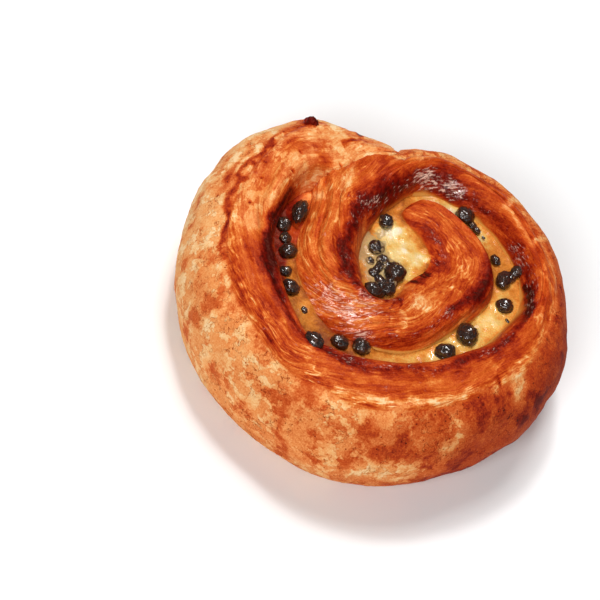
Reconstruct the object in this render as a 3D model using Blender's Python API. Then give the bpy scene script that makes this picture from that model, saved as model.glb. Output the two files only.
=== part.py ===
"""Chocolate brioche: a flat roll of laminated brioche dough, with pastry cream between its turns
and chocolate chips half sunk in the cream.

The dough is one strip wound outwards for nearly two turns. Its inner end is a free lobe that curls
round a pool of cream, and its outer end is baked onto the turn inside it. The cream runs through
the roll from top to bottom: wide at the top, where the turns are round, and thin between them
lower down.

Lengths below are in millimetres, and become metres where the meshes are made. Angles are in
degrees about the spiral's axis, clockwise from +Y as seen from above. A winding angle runs on
past 360 where the strip passes the same place a second time.
"""

import math
import random

import bmesh
import bpy
from mathutils import Vector, noise

MM = 0.001

# The whole roll. Its box is centred on the origin, and the spiral's axis lies a little off it.
ROLL_RADIUS = 54.6
BODY_CENTRE_Y = -3.0  # the outline's centre, seen from the spiral's axis
AXIS_X, AXIS_Y = 0.65, 3.88
FIT_GAP = 0.35  # clearance between dough, cream and chips

# The strip's two ends and the places between them, as winding angles.
INNER_END = -13.0
OUTER_END = 702.0
SECOND_TURN = 352.0
GROOVE_END = 292.0
TAIL_TOP = 342.0  # where the outer end gives way to the turn below it, in the outline
INNER_END_ROUNDING = 11.0
OUTER_END_ROUNDING = 9.0
THINNEST_END = 0.2  # the width that is left at either end, as a share of the full width
END_RISE = 1.2  # how high either end stands above the cream

# The edge of the central pool of cream: (winding angle, radius).
POOL_EDGE = (
    (-13, 17.0), (5, 15.6), (25, 13.8), (42, 11.9), (56, 9.6), (70, 7.2), (86, 5.8), (102, 5.3),
    (118, 5.5), (134, 6.9), (150, 9.0), (166, 11.0), (184, 12.2), (205, 10.9), (228, 9.0),
    (270, 9.0), (300, 10.8), (320, 14.0), (338, 20.6), (352, 27.0),
)
# The middle of the groove between the two turns, and half its width at the cream's level. Past
# the groove's end the width is negative, because the outer turn has baked onto the inner one.
GROOVE_LINE = (
    (-13, 23.6), (-8, 25.1), (0, 27.3), (9, 28.8), (17, 29.6), (30, 30.6), (45, 32.0),
    (60, 32.9), (75, 32.1), (95, 29.8), (116, 28.3), (134, 28.3), (155, 29.5), (173, 31.1),
    (187, 32.2), (197, 33.0), (207, 32.0), (221, 30.7), (234, 29.9), (250, 29.2), (266, 29.2),
    (280, 29.7), (294, 31.0), (315, 33.8), (342, 36.8),
)
GROOVE_HALF_WIDTH = (
    (-13, 2.0), (9, 1.9), (30, 2.8), (60, 3.7), (95, 3.5), (125, 2.8), (155, 2.3), (187, 3.1),
    (197, 3.8), (207, 3.1), (221, 3.0), (250, 2.7), (266, 2.8), (280, 2.3), (291, 0.0),
    (304, -6.5), (342, -6.5),
)
DEEP_HALF_WIDTH = 1.0
BASE_CHAMFER = 1.8
POOL_NARROWING = 2.6  # how far the pool's wall leans in, low down
POOL_END = 300.0  # from here to the second turn, the pool's wall becomes the groove's
TAPER_BOTTOM, TAPER_TOP = 11.0, 26.0

# Heights along the strip: (winding angle, height).
CREAM_LEVEL = 28.5
CREAM_BOTTOM = 2.2
INNER_RIM_HEIGHT = (
    (-13, 30.4), (40, 31.2), (100, 31.6), (150, 33.4), (190, 34.8), (240, 35.6), (300, 36.2),
    (352, 36.6), (400, 36.6), (450, 35.6), (540, 35.2), (590, 36.2), (640, 37.2), (702, 36.0),
)
CROWN_HEIGHT = (
    (-13, 31.0), (40, 33.0), (100, 33.6), (180, 35.2), (270, 35.8), (352, 36.6), (450, 36.2),
    (540, 36.4), (600, 37.2), (650, 38.4), (680, 37.0), (702, 34.5),
)
OUTER_RIM_HEIGHT = (
    (-13, 31.6), (40, 33.4), (100, 33.6), (160, 33.8), (220, 33.4), (290, 33.8), (352, 35.0),
    (702, 35.0),
)
# How far from the strip's edges its rims stand. The lobe slopes gently down to the pool and
# steeply down to the groove, and the strip slopes gently both ways past it.
INNER_RIM_RUN = (
    (-13, 5.0), (60, 7.0), (120, 6.5), (180, 5.5), (250, 7.0), (298, 8.5), (334, 7.0), (352, 5.8),
    (377, 6.0), (400, 4.8), (450, 3.6), (540, 3.6), (600, 4.2), (702, 4.0),
)
OUTER_RIM_RUN = ((-13, 1.8), (30, 2.2), (60, 3.2), (120, 4.0), (170, 4.4), (240, 5.2), (292, 4.0))
FULL_WIDTH = 20.0  # a narrower strip has its rims closer to its edges
# Across the top, between the rims: (share of the way, height against the crown).
TOP = ((0.25, -0.7), (0.55, 0.0), (0.82, -0.2))

# A side of the strip along the cream, above its taper: (share of the rim's run, share of the
# rim's height above the cream).
FLANK = ((0.10, 0.17), (0.30, 0.49), (0.60, 0.82), (1.0, 1.0))
# The outer wall, from the crown down to the base: (distance in from the outline, share of the
# crown's height).
OUTER_WALL = (
    (12.5, 0.985), (9.0, 0.955), (5.8, 0.885), (2.9, 0.775), (0.7, 0.61), (0.0, 0.45),
    (1.6, 0.26), (4.8, 0.105), (10.0, 0.0),
)

# How far inside the roll's circle the outline runs: it bulges where the outer end begins to
# thicken, then tucks in towards that end, and starts from there again on the turn below it.
OUTLINE_INSET = (
    (-18, 7.8), (-12, 5.2), (-4, 2.5), (6, 1.1), (25, -0.3), (42, -0.6), (62, 0.0), (100, 0.1),
    (116, 0.9), (128, 1.5), (141, 1.0), (158, -0.4), (173, -1.2), (186, 0.0), (207, 0.9),
    (232, 0.4), (262, -0.5), (288, -2.3), (303, -2.0), (312, -0.6), (320, 1.8), (334, 5.8),
    (342, 7.8),
)

# The little burnt knob that stands on the outer end: winding angle, radius, height, half sizes.
KNOB_AT = (305.0, 45.0, 34.7)
KNOB_SIZE = (2.6, 2.4, 4.1)

# On the side where the dough sank on its base, the wall's foot stands further out: (angle, share).
FOOT = ((165, 0.0), (205, 0.35), (228, 0.35), (255, 0.0))
FOOT_HEIGHT = 12.0

# Gentle unevenness of the dough: how far it moves a point, and the size of its swellings. It
# fades out between these heights, to leave the base flat.
UNEVENNESS, SWELLING_SIZE = 1.0, 15.0
SWELLINGS_APART = (Vector((0, 0, 0)), Vector((31, 17, 5)), Vector((7, 43, 29)))
FADE_BOTTOM, FADE_TOP = 1.0, 9.0
CREAM_UNEVENNESS, CREAM_SWELLING_SIZE = 0.7, 7.0

# Chocolate chips: (angle, radius, length, width, turn of the length from the groove, height).
CHIPS = (
    (273.4, 28.4, 8.4, 4.4, 10, 1.8), (262.3, 30.8, 4.6, 4.2, 0, 0.8), (254.6, 29.5, 3.8, 3.2, -10, 0.5),
    (245.5, 28.7, 5.2, 4.8, -65, 1.0), (233.2, 30.4, 4.0, 3.4, -80, 0.5),
    (223.6, 30.7, 5.2, 4.7, 25, 0.8), (209.6, 30.6, 2.4, 2.0, -10, 0.2),
    (193.2, 40.6, 6.0, 5.0, -10, 6.8), (185.7, 31.1, 5.2, 4.2, 5, 0.7),
    (175.3, 29.0, 5.4, 4.9, -15, 0.9), (127.2, 28.6, 5.9, 5.2, -30, 1.1),
    (108.6, 27.4, 6.8, 6.0, 60, 1.5), (77.9, 32.3, 5.0, 4.6, -85, 0.9),
    (63.0, 31.9, 6.0, 4.4, -25, 1.2), (57.7, 36.3, 4.0, 3.6, -75, 1.3), (50.6, 31.2, 3.6, 2.5, 20, 1.0),
    (21.6, 30.8, 5.6, 5.2, -25, 1.3), (31.0, 30.9, 2.9, 1.9, 15, 0.7),
    (333.3, 15.2, 4.4, 4.1, -65, 1.1), (305.5, 7.3, 4.9, 4.3, -35, 0.6),
    (292.1, 3.0, 3.8, 3.2, -60, 0.7), (127, 2.0, 6.0, 5.7, -80, 1.3),
    (219.2, 5.5, 3.2, 2.8, 25, 0.6), (164.3, 7.4, 4.2, 3.8, 60, 1.1), (188.7, 10.9, 5.6, 5.2, -5, 1.6),
    (260.5, 5.9, 2.6, 2.2, 80, 0.4),
)
CHIP_HEIGHT = 0.86  # a chip's height, as a share of its width
CHIP_SEGMENTS, CHIP_RINGS = 9, 6
CHIP_DENTS = 0.09  # how deep a chip's dents are, as a share of its size
CHIP_SEED = 11

WINDING_STEP = 6.5
CREAM_SIDES, CREAM_RINGS = 48, 10
CREAM_OVERREACH = 7.0  # how far past the groove's middle the uncut cream reaches, into the dough
CREAM_CLOSING = 12.0  # the angle over which that reach ends, past the groove's end
CREAM_TURN = 336.0  # where its rim passes from the groove's end to the groove's start

DOUGH_COLOUR = (0.62, 0.24, 0.06)
CREAM_COLOUR = (0.78, 0.56, 0.22)
CHOCOLATE_COLOUR = (0.035, 0.018, 0.012)


def through(knots, at):
    """The smooth curve through the knots (place, value), read at one place."""
    x = [knot[0] for knot in knots]
    y = [knot[1] for knot in knots]
    at = min(max(at, x[0]), x[-1])
    i = max(j for j in range(len(x) - 1) if x[j] <= at)
    span = x[i + 1] - x[i]

    def slope(j):
        low, high = max(j - 1, 0), min(j + 1, len(x) - 1)
        return (y[high] - y[low]) / (x[high] - x[low])

    s = (at - x[i]) / span
    return (
        (2 * s**3 - 3 * s**2 + 1) * y[i]
        + (s**3 - 2 * s**2 + s) * span * slope(i)
        + (3 * s**2 - 2 * s**3) * y[i + 1]
        + (s**3 - s**2) * span * slope(i + 1)
    )


def ease(x):
    """0 below 0, 1 above 1, and smooth between."""
    x = min(max(x, 0.0), 1.0)
    return x * x * (3 - 2 * x)


def mix(a, b, share):
    return a + (b - a) * share


def polar(angle, radius, height):
    turn = math.radians(angle)
    return Vector((radius * math.sin(turn), radius * math.cos(turn), height))


def outline_radius(angle):
    """From the axis to the outline, for angles from the step below the strip's outer end, at
    TAIL_TOP - 360, round to that end itself, at TAIL_TOP."""
    turn = math.radians(angle)
    across = BODY_CENTRE_Y * math.sin(turn)
    circle = BODY_CENTRE_Y * math.cos(turn) + math.sqrt(ROLL_RADIUS**2 - across**2)
    return circle - through(OUTLINE_INSET, angle)


def groove_half_width(winding):
    return through(GROOVE_HALF_WIDTH, winding if winding < TAIL_TOP else winding - 360)


def strip_edges(winding):
    """The strip's inner and outer radius at the cream's level."""
    if winding < SECOND_TURN:
        inner = through(POOL_EDGE, winding)
    else:
        inner = through(GROOVE_LINE, winding - 360) + groove_half_width(winding)
    if winding < TAIL_TOP:
        outer = through(GROOVE_LINE, winding) - groove_half_width(winding)
    else:
        outer = outline_radius(winding - 360)
    return inner, outer


def end_rounding(winding):
    """Rounds the strip off at its two ends: 1 along it, falling to THINNEST_END at each end."""
    from_end = min(
        (winding - INNER_END) / INNER_END_ROUNDING,
        (OUTER_END - winding) / OUTER_END_ROUNDING,
    )
    return max(math.sqrt(max(1 - max(1 - from_end, 0) ** 2, 0)), THINNEST_END)


def wall_leans(winding):
    """How much further the strip's two walls reach, low down, than at the cream's level."""
    lean = max(groove_half_width(winding) - DEEP_HALF_WIDTH, 0)
    inner = mix(POOL_NARROWING, lean, ease((winding - POOL_END) / (SECOND_TURN - POOL_END)))
    outer = lean if winding < TAIL_TOP else 0
    return inner, outer


def cream_side(lean, rim, run, base_inset):
    """A side of the strip that meets the cream, from the base up to its rim: (distance in from
    the edge at the cream's level, height)."""
    side = [
        (base_inset - lean, 0.0),
        (-lean, BASE_CHAMFER),
        (-lean, TAPER_BOTTOM),
        (-0.5 * lean, (TAPER_BOTTOM + TAPER_TOP) / 2),
        (0.0, TAPER_TOP),
    ]
    side += [(run * along, mix(CREAM_LEVEL, rim, up)) for along, up in FLANK]
    return side


def outer_wall(outer, crown, squeeze, foot):
    """The strip's free side, from its crown down to the base: (radius, height)."""
    wall = []
    for inset, share in OUTER_WALL:
        height = crown * share
        kept = 1 - foot if height < FOOT_HEIGHT else 1
        wall.append((outer - inset * kept * squeeze, height))
    return wall


def strip_section(winding):
    """The strip cut across: (radius, height) from the inner edge of its base, over the top, to
    the outer edge of its base."""
    inner, outer = strip_edges(winding)
    rounding = end_rounding(winding)
    middle = (inner + outer) / 2
    half = (outer - inner) / 2 * rounding
    inner, outer = middle - half, middle + half
    squeeze = min(1.0, 2 * half / FULL_WIDTH)
    lean_in, lean_out = (lean * rounding for lean in wall_leans(winding))
    inner_rim, crown, outer_rim = (
        mix(CREAM_LEVEL + END_RISE, through(heights, winding), rounding)
        for heights in (INNER_RIM_HEIGHT, CROWN_HEIGHT, OUTER_RIM_HEIGHT)
    )
    inner_run = through(INNER_RIM_RUN, winding) * squeeze
    outer_run = through(OUTER_RIM_RUN, winding) * squeeze
    base_inset = BASE_CHAMFER * squeeze

    inner_side = cream_side(lean_in, inner_rim, inner_run, base_inset)
    inner_side = [(inner + inset, height) for inset, height in inner_side]
    groove_side = cream_side(lean_out, outer_rim, outer_run, base_inset)[::-1]
    groove_side = [(outer - inset, height) for inset, height in groove_side]
    free_side = outer_wall(outer, crown, squeeze, through(FOOT, winding - 360))
    freed = ease((winding - GROOVE_END) / (SECOND_TURN - GROOVE_END))
    outer_side = [
        (mix(a[0], b[0], freed), mix(a[1], b[1], freed)) for a, b in zip(groove_side, free_side)
    ]
    start, end = inner_side[-1][0], outer_side[0][0]
    top = [(mix(start, end, across), crown + lift * rounding) for across, lift in TOP]
    return inner_side + top + outer_side


def uneven(point):
    """Moves a point of the dough a little, by soft swellings that fade out at the flat base."""
    swelling = UNEVENNESS * Vector(
        noise.noise(point / SWELLING_SIZE + apart) for apart in SWELLINGS_APART
    )
    return point + swelling * ease((point.z - FADE_BOTTOM) / (FADE_TOP - FADE_BOTTOM))


def add_loft(bm, rings):
    """Joins closed rings of points one after another, and closes the two ends."""
    made = [[bm.verts.new(point * MM) for point in ring] for ring in rings]
    count = len(rings[0])
    for a, b in zip(made, made[1:]):
        for i in range(count):
            j = (i + 1) % count
            bm.faces.new((a[i], b[i], b[j], a[j]))
    for ring, end in ((rings[0], made[0]), (rings[-1], made[-1][::-1])):
        middle = bm.verts.new(sum(ring, Vector()) / count * MM)
        for i in range(count):
            bm.faces.new((end[i], end[(i + 1) % count], middle))


def new_object(name, bm, material, collection):
    """Makes an object of the bmesh, on the spiral's axis, with its faces pointing out. They become
    triangles, because a face that isn't flat may be cut badly."""
    bmesh.ops.triangulate(bm, faces=bm.faces)
    bmesh.ops.recalc_face_normals(bm, faces=bm.faces)
    if bm.calc_volume(signed=True) < 0:
        bmesh.ops.reverse_faces(bm, faces=bm.faces)
    mesh = bpy.data.meshes.new(name)
    bm.to_mesh(mesh)
    bm.free()
    for polygon in mesh.polygons:
        polygon.use_smooth = True
    if material:
        mesh.materials.append(material)
    made = bpy.data.objects.new(name, mesh)
    collection.objects.link(made)
    made.location = (AXIS_X * MM, AXIS_Y * MM, 0)
    return made


def new_material(name, colour, roughness):
    material = bpy.data.materials.new(name)
    material.use_nodes = True
    shader = material.node_tree.nodes["Principled BSDF"]
    shader.inputs["Base Color"].default_value = (*colour, 1)
    shader.inputs["Roughness"].default_value = roughness
    shader.inputs["Metallic"].default_value = 0.0
    return material


def new_collection(name):
    collection = bpy.data.collections.new(name)
    bpy.context.scene.collection.children.link(collection)
    return collection


def make_strip(name, material, collection):
    """The dough strip, wound up from its inner end to its outer end. Its last turn runs into the
    turn before it, where they have baked together."""
    bm = bmesh.new()
    steps = round((OUTER_END - INNER_END) / WINDING_STEP)
    windings = [mix(INNER_END, OUTER_END, i / steps) for i in range(steps + 1)]
    add_loft(bm, [
        [uneven(polar(winding, radius, height)) for radius, height in strip_section(winding)]
        for winding in windings
    ])
    return new_object(name, bm, material, collection)


def make_knob(collection):
    """A burnt blob of dough on the outer end, joined to the strip."""
    bm = bmesh.new()
    bmesh.ops.create_uvsphere(bm, u_segments=10, v_segments=7, radius=1.0)
    middle = polar(*KNOB_AT)
    for vertex in bm.verts:
        reach = Vector(a * b for a, b in zip(vertex.co, KNOB_SIZE))
        vertex.co = (middle + reach) * MM
    return new_object("knob", bm, None, collection)


def make_chip(name, chip, draw, material, collection):
    """A squat drop of chocolate with uneven sides, half sunk in the cream."""
    angle, radius, length, width, turned, lift = chip
    bm = bmesh.new()
    bmesh.ops.create_uvsphere(bm, u_segments=CHIP_SEGMENTS, v_segments=CHIP_RINGS, radius=0.5)
    own_place = Vector(draw.uniform(-40, 40) for _ in range(3))
    heading = math.radians(turned - angle)
    middle = polar(angle, radius, CREAM_LEVEL + lift)
    for vertex in bm.verts:
        dent = 1 + CHIP_DENTS * noise.noise(vertex.co * 3 + own_place)
        x, y, z = vertex.co * dent
        x, y, z = x * length, y * width, z * width * CHIP_HEIGHT
        around = Vector((
            x * math.cos(heading) - y * math.sin(heading),
            x * math.sin(heading) + y * math.cos(heading),
            z,
        ))
        vertex.co = (middle + around) * MM
    return new_object(name, bm, material, collection)


def make_cream_blank(name, material, collection):
    """The cream before the dough is cut out of it. Its rim lies inside the outer turn."""
    bm = bmesh.new()
    rings = []
    for i in range(CREAM_SIDES):
        angle = 360 * i / CREAM_SIDES
        line = through(GROOVE_LINE, angle if angle < CREAM_TURN else angle - 360)
        closing = ease((angle - GROOVE_END) / CREAM_CLOSING) if angle < CREAM_TURN else 0.0
        reach = line + CREAM_OVERREACH * (1 - closing)
        ring = []
        for j in range(CREAM_RINGS):
            at = polar(angle, reach * (j + 1) / CREAM_RINGS, CREAM_LEVEL)
            at.z += CREAM_UNEVENNESS * noise.noise(at / CREAM_SWELLING_SIZE)
            ring.append(at)
        ring.append(polar(angle, reach, CREAM_BOTTOM))
        rings.append(ring)
    made = [[bm.verts.new(point * MM) for point in ring] for ring in rings]
    top = bm.verts.new(Vector((0, 0, CREAM_LEVEL)) * MM)
    bottom = bm.verts.new(Vector((0, 0, CREAM_BOTTOM)) * MM)
    for a, b in zip(made, made[1:] + made[:1]):
        bm.faces.new((top, b[0], a[0]))
        bm.faces.new((bottom, a[-1], b[-1]))
        for j in range(CREAM_RINGS):
            bm.faces.new((a[j], b[j], b[j + 1], a[j + 1]))
    return new_object(name, bm, material, collection)


def as_cutter(source, collection):
    """A copy of the object, larger all round by the gap that pieces keep to each other."""
    cutter = bpy.data.objects.new(source.name + "_cutter", source.data)
    cutter.location = source.location
    collection.objects.link(cutter)
    grow = cutter.modifiers.new("gap", "DISPLACE")
    grow.direction = "NORMAL"
    grow.mid_level = 0
    grow.strength = FIT_GAP * MM
    return cutter


def boolean(target, operation, operand, solver="MANIFOLD"):
    """Cuts or joins with an object or with every object of a collection. The dough and the cream
    meet along long thin faces, which only the manifold solver cuts without slivers."""
    made = target.modifiers.new(operation.lower(), "BOOLEAN")
    made.operation = operation
    made.solver = solver
    if isinstance(operand, bpy.types.Collection):
        made.operand_type = "COLLECTION"
        made.collection = operand
    else:
        made.object = operand
    return made


def apply_modifiers(target):
    """Replaces the object's mesh by the one that its modifiers make of it."""
    scene_state = bpy.context.evaluated_depsgraph_get()
    mesh = bpy.data.meshes.new_from_object(target.evaluated_get(scene_state))
    target.modifiers.clear()
    target.data = mesh


def hide(collection):
    for each in collection.objects:
        each.hide_render = True
        each.display_type = "WIRE"


def main():
    for each in list(bpy.data.objects):
        bpy.data.objects.remove(each)
    brioche = new_collection("chocolate_brioche")
    strip_cutter = new_collection("strip_cutter")
    chip_cutters = new_collection("chip_cutters")
    joined = new_collection("joined_to_the_dough")

    dough_material = new_material("dough", DOUGH_COLOUR, 0.35)
    cream_material = new_material("cream", CREAM_COLOUR, 0.3)
    chocolate_material = new_material("chocolate", CHOCOLATE_COLOUR, 0.25)

    dough = make_strip("dough", dough_material, brioche)
    with_knob = boolean(dough, "UNION", make_knob(joined), solver="EXACT")
    with_knob.use_self = True  # the last turn runs into the one before it
    apply_modifiers(dough)
    cream = make_cream_blank("cream", cream_material, brioche)
    draw = random.Random(CHIP_SEED)
    for number, chip in enumerate(CHIPS, start=1):
        made = make_chip(f"chip_{number:02d}", chip, draw, chocolate_material, brioche)
        as_cutter(made, chip_cutters)
    boolean(cream, "DIFFERENCE", as_cutter(dough, strip_cutter))
    for pocketed in (dough, cream):
        boolean(pocketed, "DIFFERENCE", chip_cutters)
    for collection in (strip_cutter, chip_cutters, joined):
        hide(collection)


main()
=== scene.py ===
"""Looks of the chocolate brioche: the laminated, egg-washed strip with its burnt rims and mottled
skin, the baked pastry cream between its turns, and the chocolate chips in the cream.

The strip is made here again at a fine grain, from the same named sizes as the solid that it
stands for. Lengths are in millimetres until the meshes are made. Angles are in degrees about the
spiral's axis, clockwise from +Y as seen from above, and a winding angle runs on past 360 where the
strip passes the same place a second time.
"""

import itertools
import math
import random

import bmesh
import bpy
import numpy as np
from mathutils import Matrix, Vector, noise
from mathutils.bvhtree import BVHTree


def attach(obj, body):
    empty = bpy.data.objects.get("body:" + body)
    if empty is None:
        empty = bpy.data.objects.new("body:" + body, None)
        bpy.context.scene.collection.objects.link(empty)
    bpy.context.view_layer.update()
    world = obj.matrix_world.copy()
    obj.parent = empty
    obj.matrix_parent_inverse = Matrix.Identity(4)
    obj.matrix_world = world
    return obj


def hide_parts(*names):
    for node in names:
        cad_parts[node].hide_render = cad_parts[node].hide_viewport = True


MM = 0.001

# The camera, worked out from the ellipses of the roll's outline and cut edge in the photo.
VIEW_HEIGHT = 50.0  # degrees above the horizontal
VIEW_ROLL = 28.0
VIEW_DISTANCE = 900.0
PIXELS_PER_MM = 3.73  # at that distance
IMAGE_SIZE = 600.0
SENSOR_WIDTH = 36.0
CLIP_NEAR, CLIP_FAR = 0.05, 20.0
SEEN_AT = (370.0, 306.0)  # the pixel that shows the middle of the body
BODY_MIDDLE = (0.65, 0.88, 15.0)

# The studio, in metres: (direction, distance, diameter, watts) of each soft light.
FLOOR_SIZE = 6.0
FLOOR_COLOUR = (0.95, 0.95, 0.95)
FLOOR_ROUGHNESS = 0.9
WORLD_COLOUR = (1.0, 1.0, 1.0)
WORLD_STRENGTH = 0.10
LIGHTS = {
    "key": ((-0.26, 0.27, 0.93), 0.9, 0.12, 2.0),
    "overhead": ((-0.15, 0.32, 0.93), 1.0, 0.40, 4.8),
    "front": ((-0.12, -0.72, 0.62), 1.1, 0.36, 6.2),
    "fill": ((0.3, -0.6, 0.7), 1.3, 1.0, 2.0),
}

# The whole roll.
ROLL_RADIUS = 54.6
BODY_CENTRE_Y = -3.0
AXIS = np.array((0.65, 3.88, 0.0))

# The strip's two ends and the places between them, as winding angles.
INNER_END = -13.0
OUTER_END = 702.0
SECOND_TURN = 352.0
GROOVE_END = 292.0
TAIL_TOP = 342.0
INNER_END_ROUNDING = 11.0
OUTER_END_ROUNDING = 9.0
THINNEST_END = 0.2
END_RISE = 1.2

# The edge of the central pool of cream: (winding angle, radius).
POOL_EDGE = (
    (-13, 17.0), (5, 15.6), (25, 13.8), (42, 11.9), (56, 9.6), (70, 7.2), (86, 5.8), (102, 5.3),
    (118, 5.5), (134, 6.9), (150, 9.0), (166, 11.0), (184, 12.2), (205, 10.9), (228, 9.0),
    (270, 9.0), (300, 10.8), (320, 14.0), (338, 20.6), (352, 27.0),
)
# The middle of the groove between the two turns, and half its width at the cream's level.
GROOVE_LINE = (
    (-13, 23.6), (-8, 25.1), (0, 27.3), (9, 28.8), (17, 29.6), (30, 30.6), (45, 32.0),
    (60, 32.9), (75, 32.1), (95, 29.8), (116, 28.3), (134, 28.3), (155, 29.5), (173, 31.1),
    (187, 32.2), (197, 33.0), (207, 32.0), (221, 30.7), (234, 29.9), (250, 29.2), (266, 29.2),
    (280, 29.7), (294, 31.0), (315, 33.8), (342, 36.8),
)
GROOVE_HALF_WIDTH = (
    (-13, 2.0), (9, 1.9), (30, 2.8), (60, 3.7), (95, 3.5), (125, 2.8), (155, 2.3), (187, 3.1),
    (197, 3.8), (207, 3.1), (221, 3.0), (250, 2.7), (266, 2.8), (280, 2.3), (291, 0.0),
    (304, -6.5), (342, -6.5),
)
SEAM_START = 284.0  # from here on the two turns run into each other
DEEP_HALF_WIDTH = 1.0
BASE_CHAMFER = 1.8
POOL_NARROWING = 2.6
POOL_END = 300.0
TAPER_BOTTOM, TAPER_TOP = 11.0, 26.0

# Heights along the strip: (winding angle, height).
CREAM_LEVEL = 28.5
CREAM_BOTTOM = 2.2
INNER_RIM_HEIGHT = (
    (-13, 30.4), (40, 31.2), (100, 31.6), (150, 33.4), (190, 34.8), (240, 35.6), (300, 36.2),
    (352, 36.6), (400, 36.6), (450, 35.6), (540, 35.2), (590, 36.2), (640, 37.2), (702, 36.0),
)
CROWN_HEIGHT = (
    (-13, 31.0), (40, 33.0), (100, 33.6), (180, 35.2), (270, 35.8), (352, 36.6), (450, 36.2),
    (540, 36.4), (600, 37.2), (650, 38.4), (680, 37.0), (702, 34.5),
)
OUTER_RIM_HEIGHT = (
    (-13, 31.6), (40, 33.4), (100, 33.6), (160, 33.8), (220, 33.4), (290, 33.8), (352, 35.0),
    (702, 35.0),
)
INNER_RIM_RUN = (
    (-13, 5.0), (60, 7.0), (120, 6.5), (180, 5.5), (250, 7.0), (298, 8.5), (334, 7.0), (352, 5.8),
    (377, 6.0), (400, 4.8), (450, 3.6), (540, 3.6), (600, 4.2), (702, 4.0),
)
OUTER_RIM_RUN = ((-13, 1.8), (30, 2.2), (60, 3.2), (120, 4.0), (170, 4.4), (240, 5.2), (292, 4.0))
FULL_WIDTH = 20.0
TOP = ((0.25, -0.7), (0.55, 0.0), (0.82, -0.2))
FLANK = ((0.10, 0.17), (0.30, 0.49), (0.60, 0.82), (1.0, 1.0))
OUTER_WALL = (
    (12.5, 0.985), (9.0, 0.955), (5.8, 0.885), (2.9, 0.775), (0.7, 0.61), (0.0, 0.45),
    (1.6, 0.26), (4.8, 0.105), (10.0, 0.0),
)
OUTLINE_INSET = (
    (-18, 7.8), (-12, 5.2), (-4, 2.5), (6, 1.1), (25, -0.3), (42, -0.6), (62, 0.0), (100, 0.1),
    (116, 0.9), (128, 1.5), (141, 1.0), (158, -0.4), (173, -1.2), (186, 0.0), (207, 0.9),
    (232, 0.4), (262, -0.5), (288, -2.3), (303, -2.0), (312, -0.6), (320, 1.8), (334, 5.8),
    (342, 7.8),
)
KNOB_AT = (305.0, 45.0, 34.7)
KNOB_SIZE = (2.6, 2.4, 4.1)
KNOB_RIDGES = (2.6, 2.6, 0.8)  # how fine they are in each direction
KNOB_DONENESS = (0.62, 0.92)  # at its foot and its tip
KNOB_GLOSS = 0.1
KNOB_REACH, KNOB_RIDGE_DEPTH = 0.97, 0.22  # shares of its size
FOOT = ((165, 0.0), (205, 0.35), (228, 0.35), (255, 0.0))
FOOT_HEIGHT = 12.0
UNEVENNESS, SWELLING_SIZE = 1.0, 15.0
SWELLINGS_APART = (Vector((0, 0, 0)), Vector((31, 17, 5)), Vector((7, 43, 29)))
FADE_BOTTOM, FADE_TOP = 1.0, 9.0
CREAM_UNEVENNESS, CREAM_SWELLING_SIZE = 0.7, 7.0

# The strip's fine grain: how far apart its sections stand, and into how many steps each stretch
# of a section is divided, from the inner edge of its base, over the top, to the outer edge.
SECTION_STEP = 0.7
STRETCH_STEPS = (1, 2, 2, 2, 4, 5, 5, 5, 8, 10, 10, 8, 7, 7, 8, 9, 9, 9, 7, 6)
BASE_STEPS = 4
SEAM_SOFTNESS = 3.0  # where the outer end has baked onto the turn below it

# A place across the strip is a number too: 4 is the cream's edge on the inner side, 8 the inner
# rim, 12 the outer rim or the shoulder of the outer wall, and 20 the outer edge of the base.
INNER_RIM, OUTER_RIM = 8, 12
CUT_FACE_START, CUT_FACE_BLEND = 6.0, 1.5
# The place where the cut face ends and the outer wall begins: (winding angle, place).
CUT_FACE_END = (
    (-13, 12.8), (320, 12.6), (335, 12.3), (400, 12.3), (440, 12.7), (520, 12.9), (535, 13.3),
    (560, 13.9), (595, 13.6), (615, 13.15), (650, 12.85), (702, 13.0),
)
SKIN_BLEND = 0.2  # half the width, in places, of the change from the cut face to the wall
GLAZE_IOR, GLAZE_ROUGHNESS = 2.0, 0.06
CHOCOLATE_IOR = 1.65
CHOCOLATE_COLOURS = (
    (0.0, (26, 12, 6)), (0.5, (54, 28, 15)), (0.8, (88, 51, 31)), (1.0, (122, 82, 56)),
)
CRUST_SHEEN = (1.0, 0.5, 0.3, 1.0)
# The colour of the highlights painted into the egg-washed crust.
PAINTED_GLINT_COLOUR = (254, 208, 184)
FLOUR_COLOUR = (228, 186, 150)
# Colours of the dough, from raw to burnt, as 8-bit screen colours.
DONENESS_COLOURS = (
    (0.00, (246, 208, 156)), (0.14, (238, 178, 112)), (0.30, (229, 138, 66)),
    (0.45, (207, 96, 35)), (0.60, (183, 66, 19)), (0.74, (150, 38, 12)), (0.87, (112, 13, 4)),
    (1.00, (66, 7, 4)),
)
# How done the cut face is along the strip, and the outer wall: (winding angle, doneness).
FACE_DONENESS = (
    (-13, 0.58), (30, 0.57), (60, 0.54), (100, 0.50), (130, 0.46), (160, 0.53), (200, 0.52),
    (240, 0.51), (285, 0.49), (305, 0.51), (320, 0.58), (335, 0.59), (350, 0.52), (366, 0.60),
    (380, 0.62), (400, 0.56), (415, 0.62), (428, 0.56), (450, 0.61), (500, 0.59),
    (540, 0.54), (560, 0.60), (588, 0.60), (600, 0.50), (610, 0.41), (630, 0.39), (650, 0.34),
    (680, 0.28), (702, 0.20),
)
WALL_DONENESS = (
    (290, 0.50), (335, 0.36), (365, 0.34), (400, 0.44), (425, 0.56), (440, 0.60), (460, 0.65),
    (480, 0.60), (492, 0.60), (505, 0.55), (518, 0.46), (532, 0.37), (560, 0.31), (600, 0.24),
    (640, 0.18), (702, 0.18),
)
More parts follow.
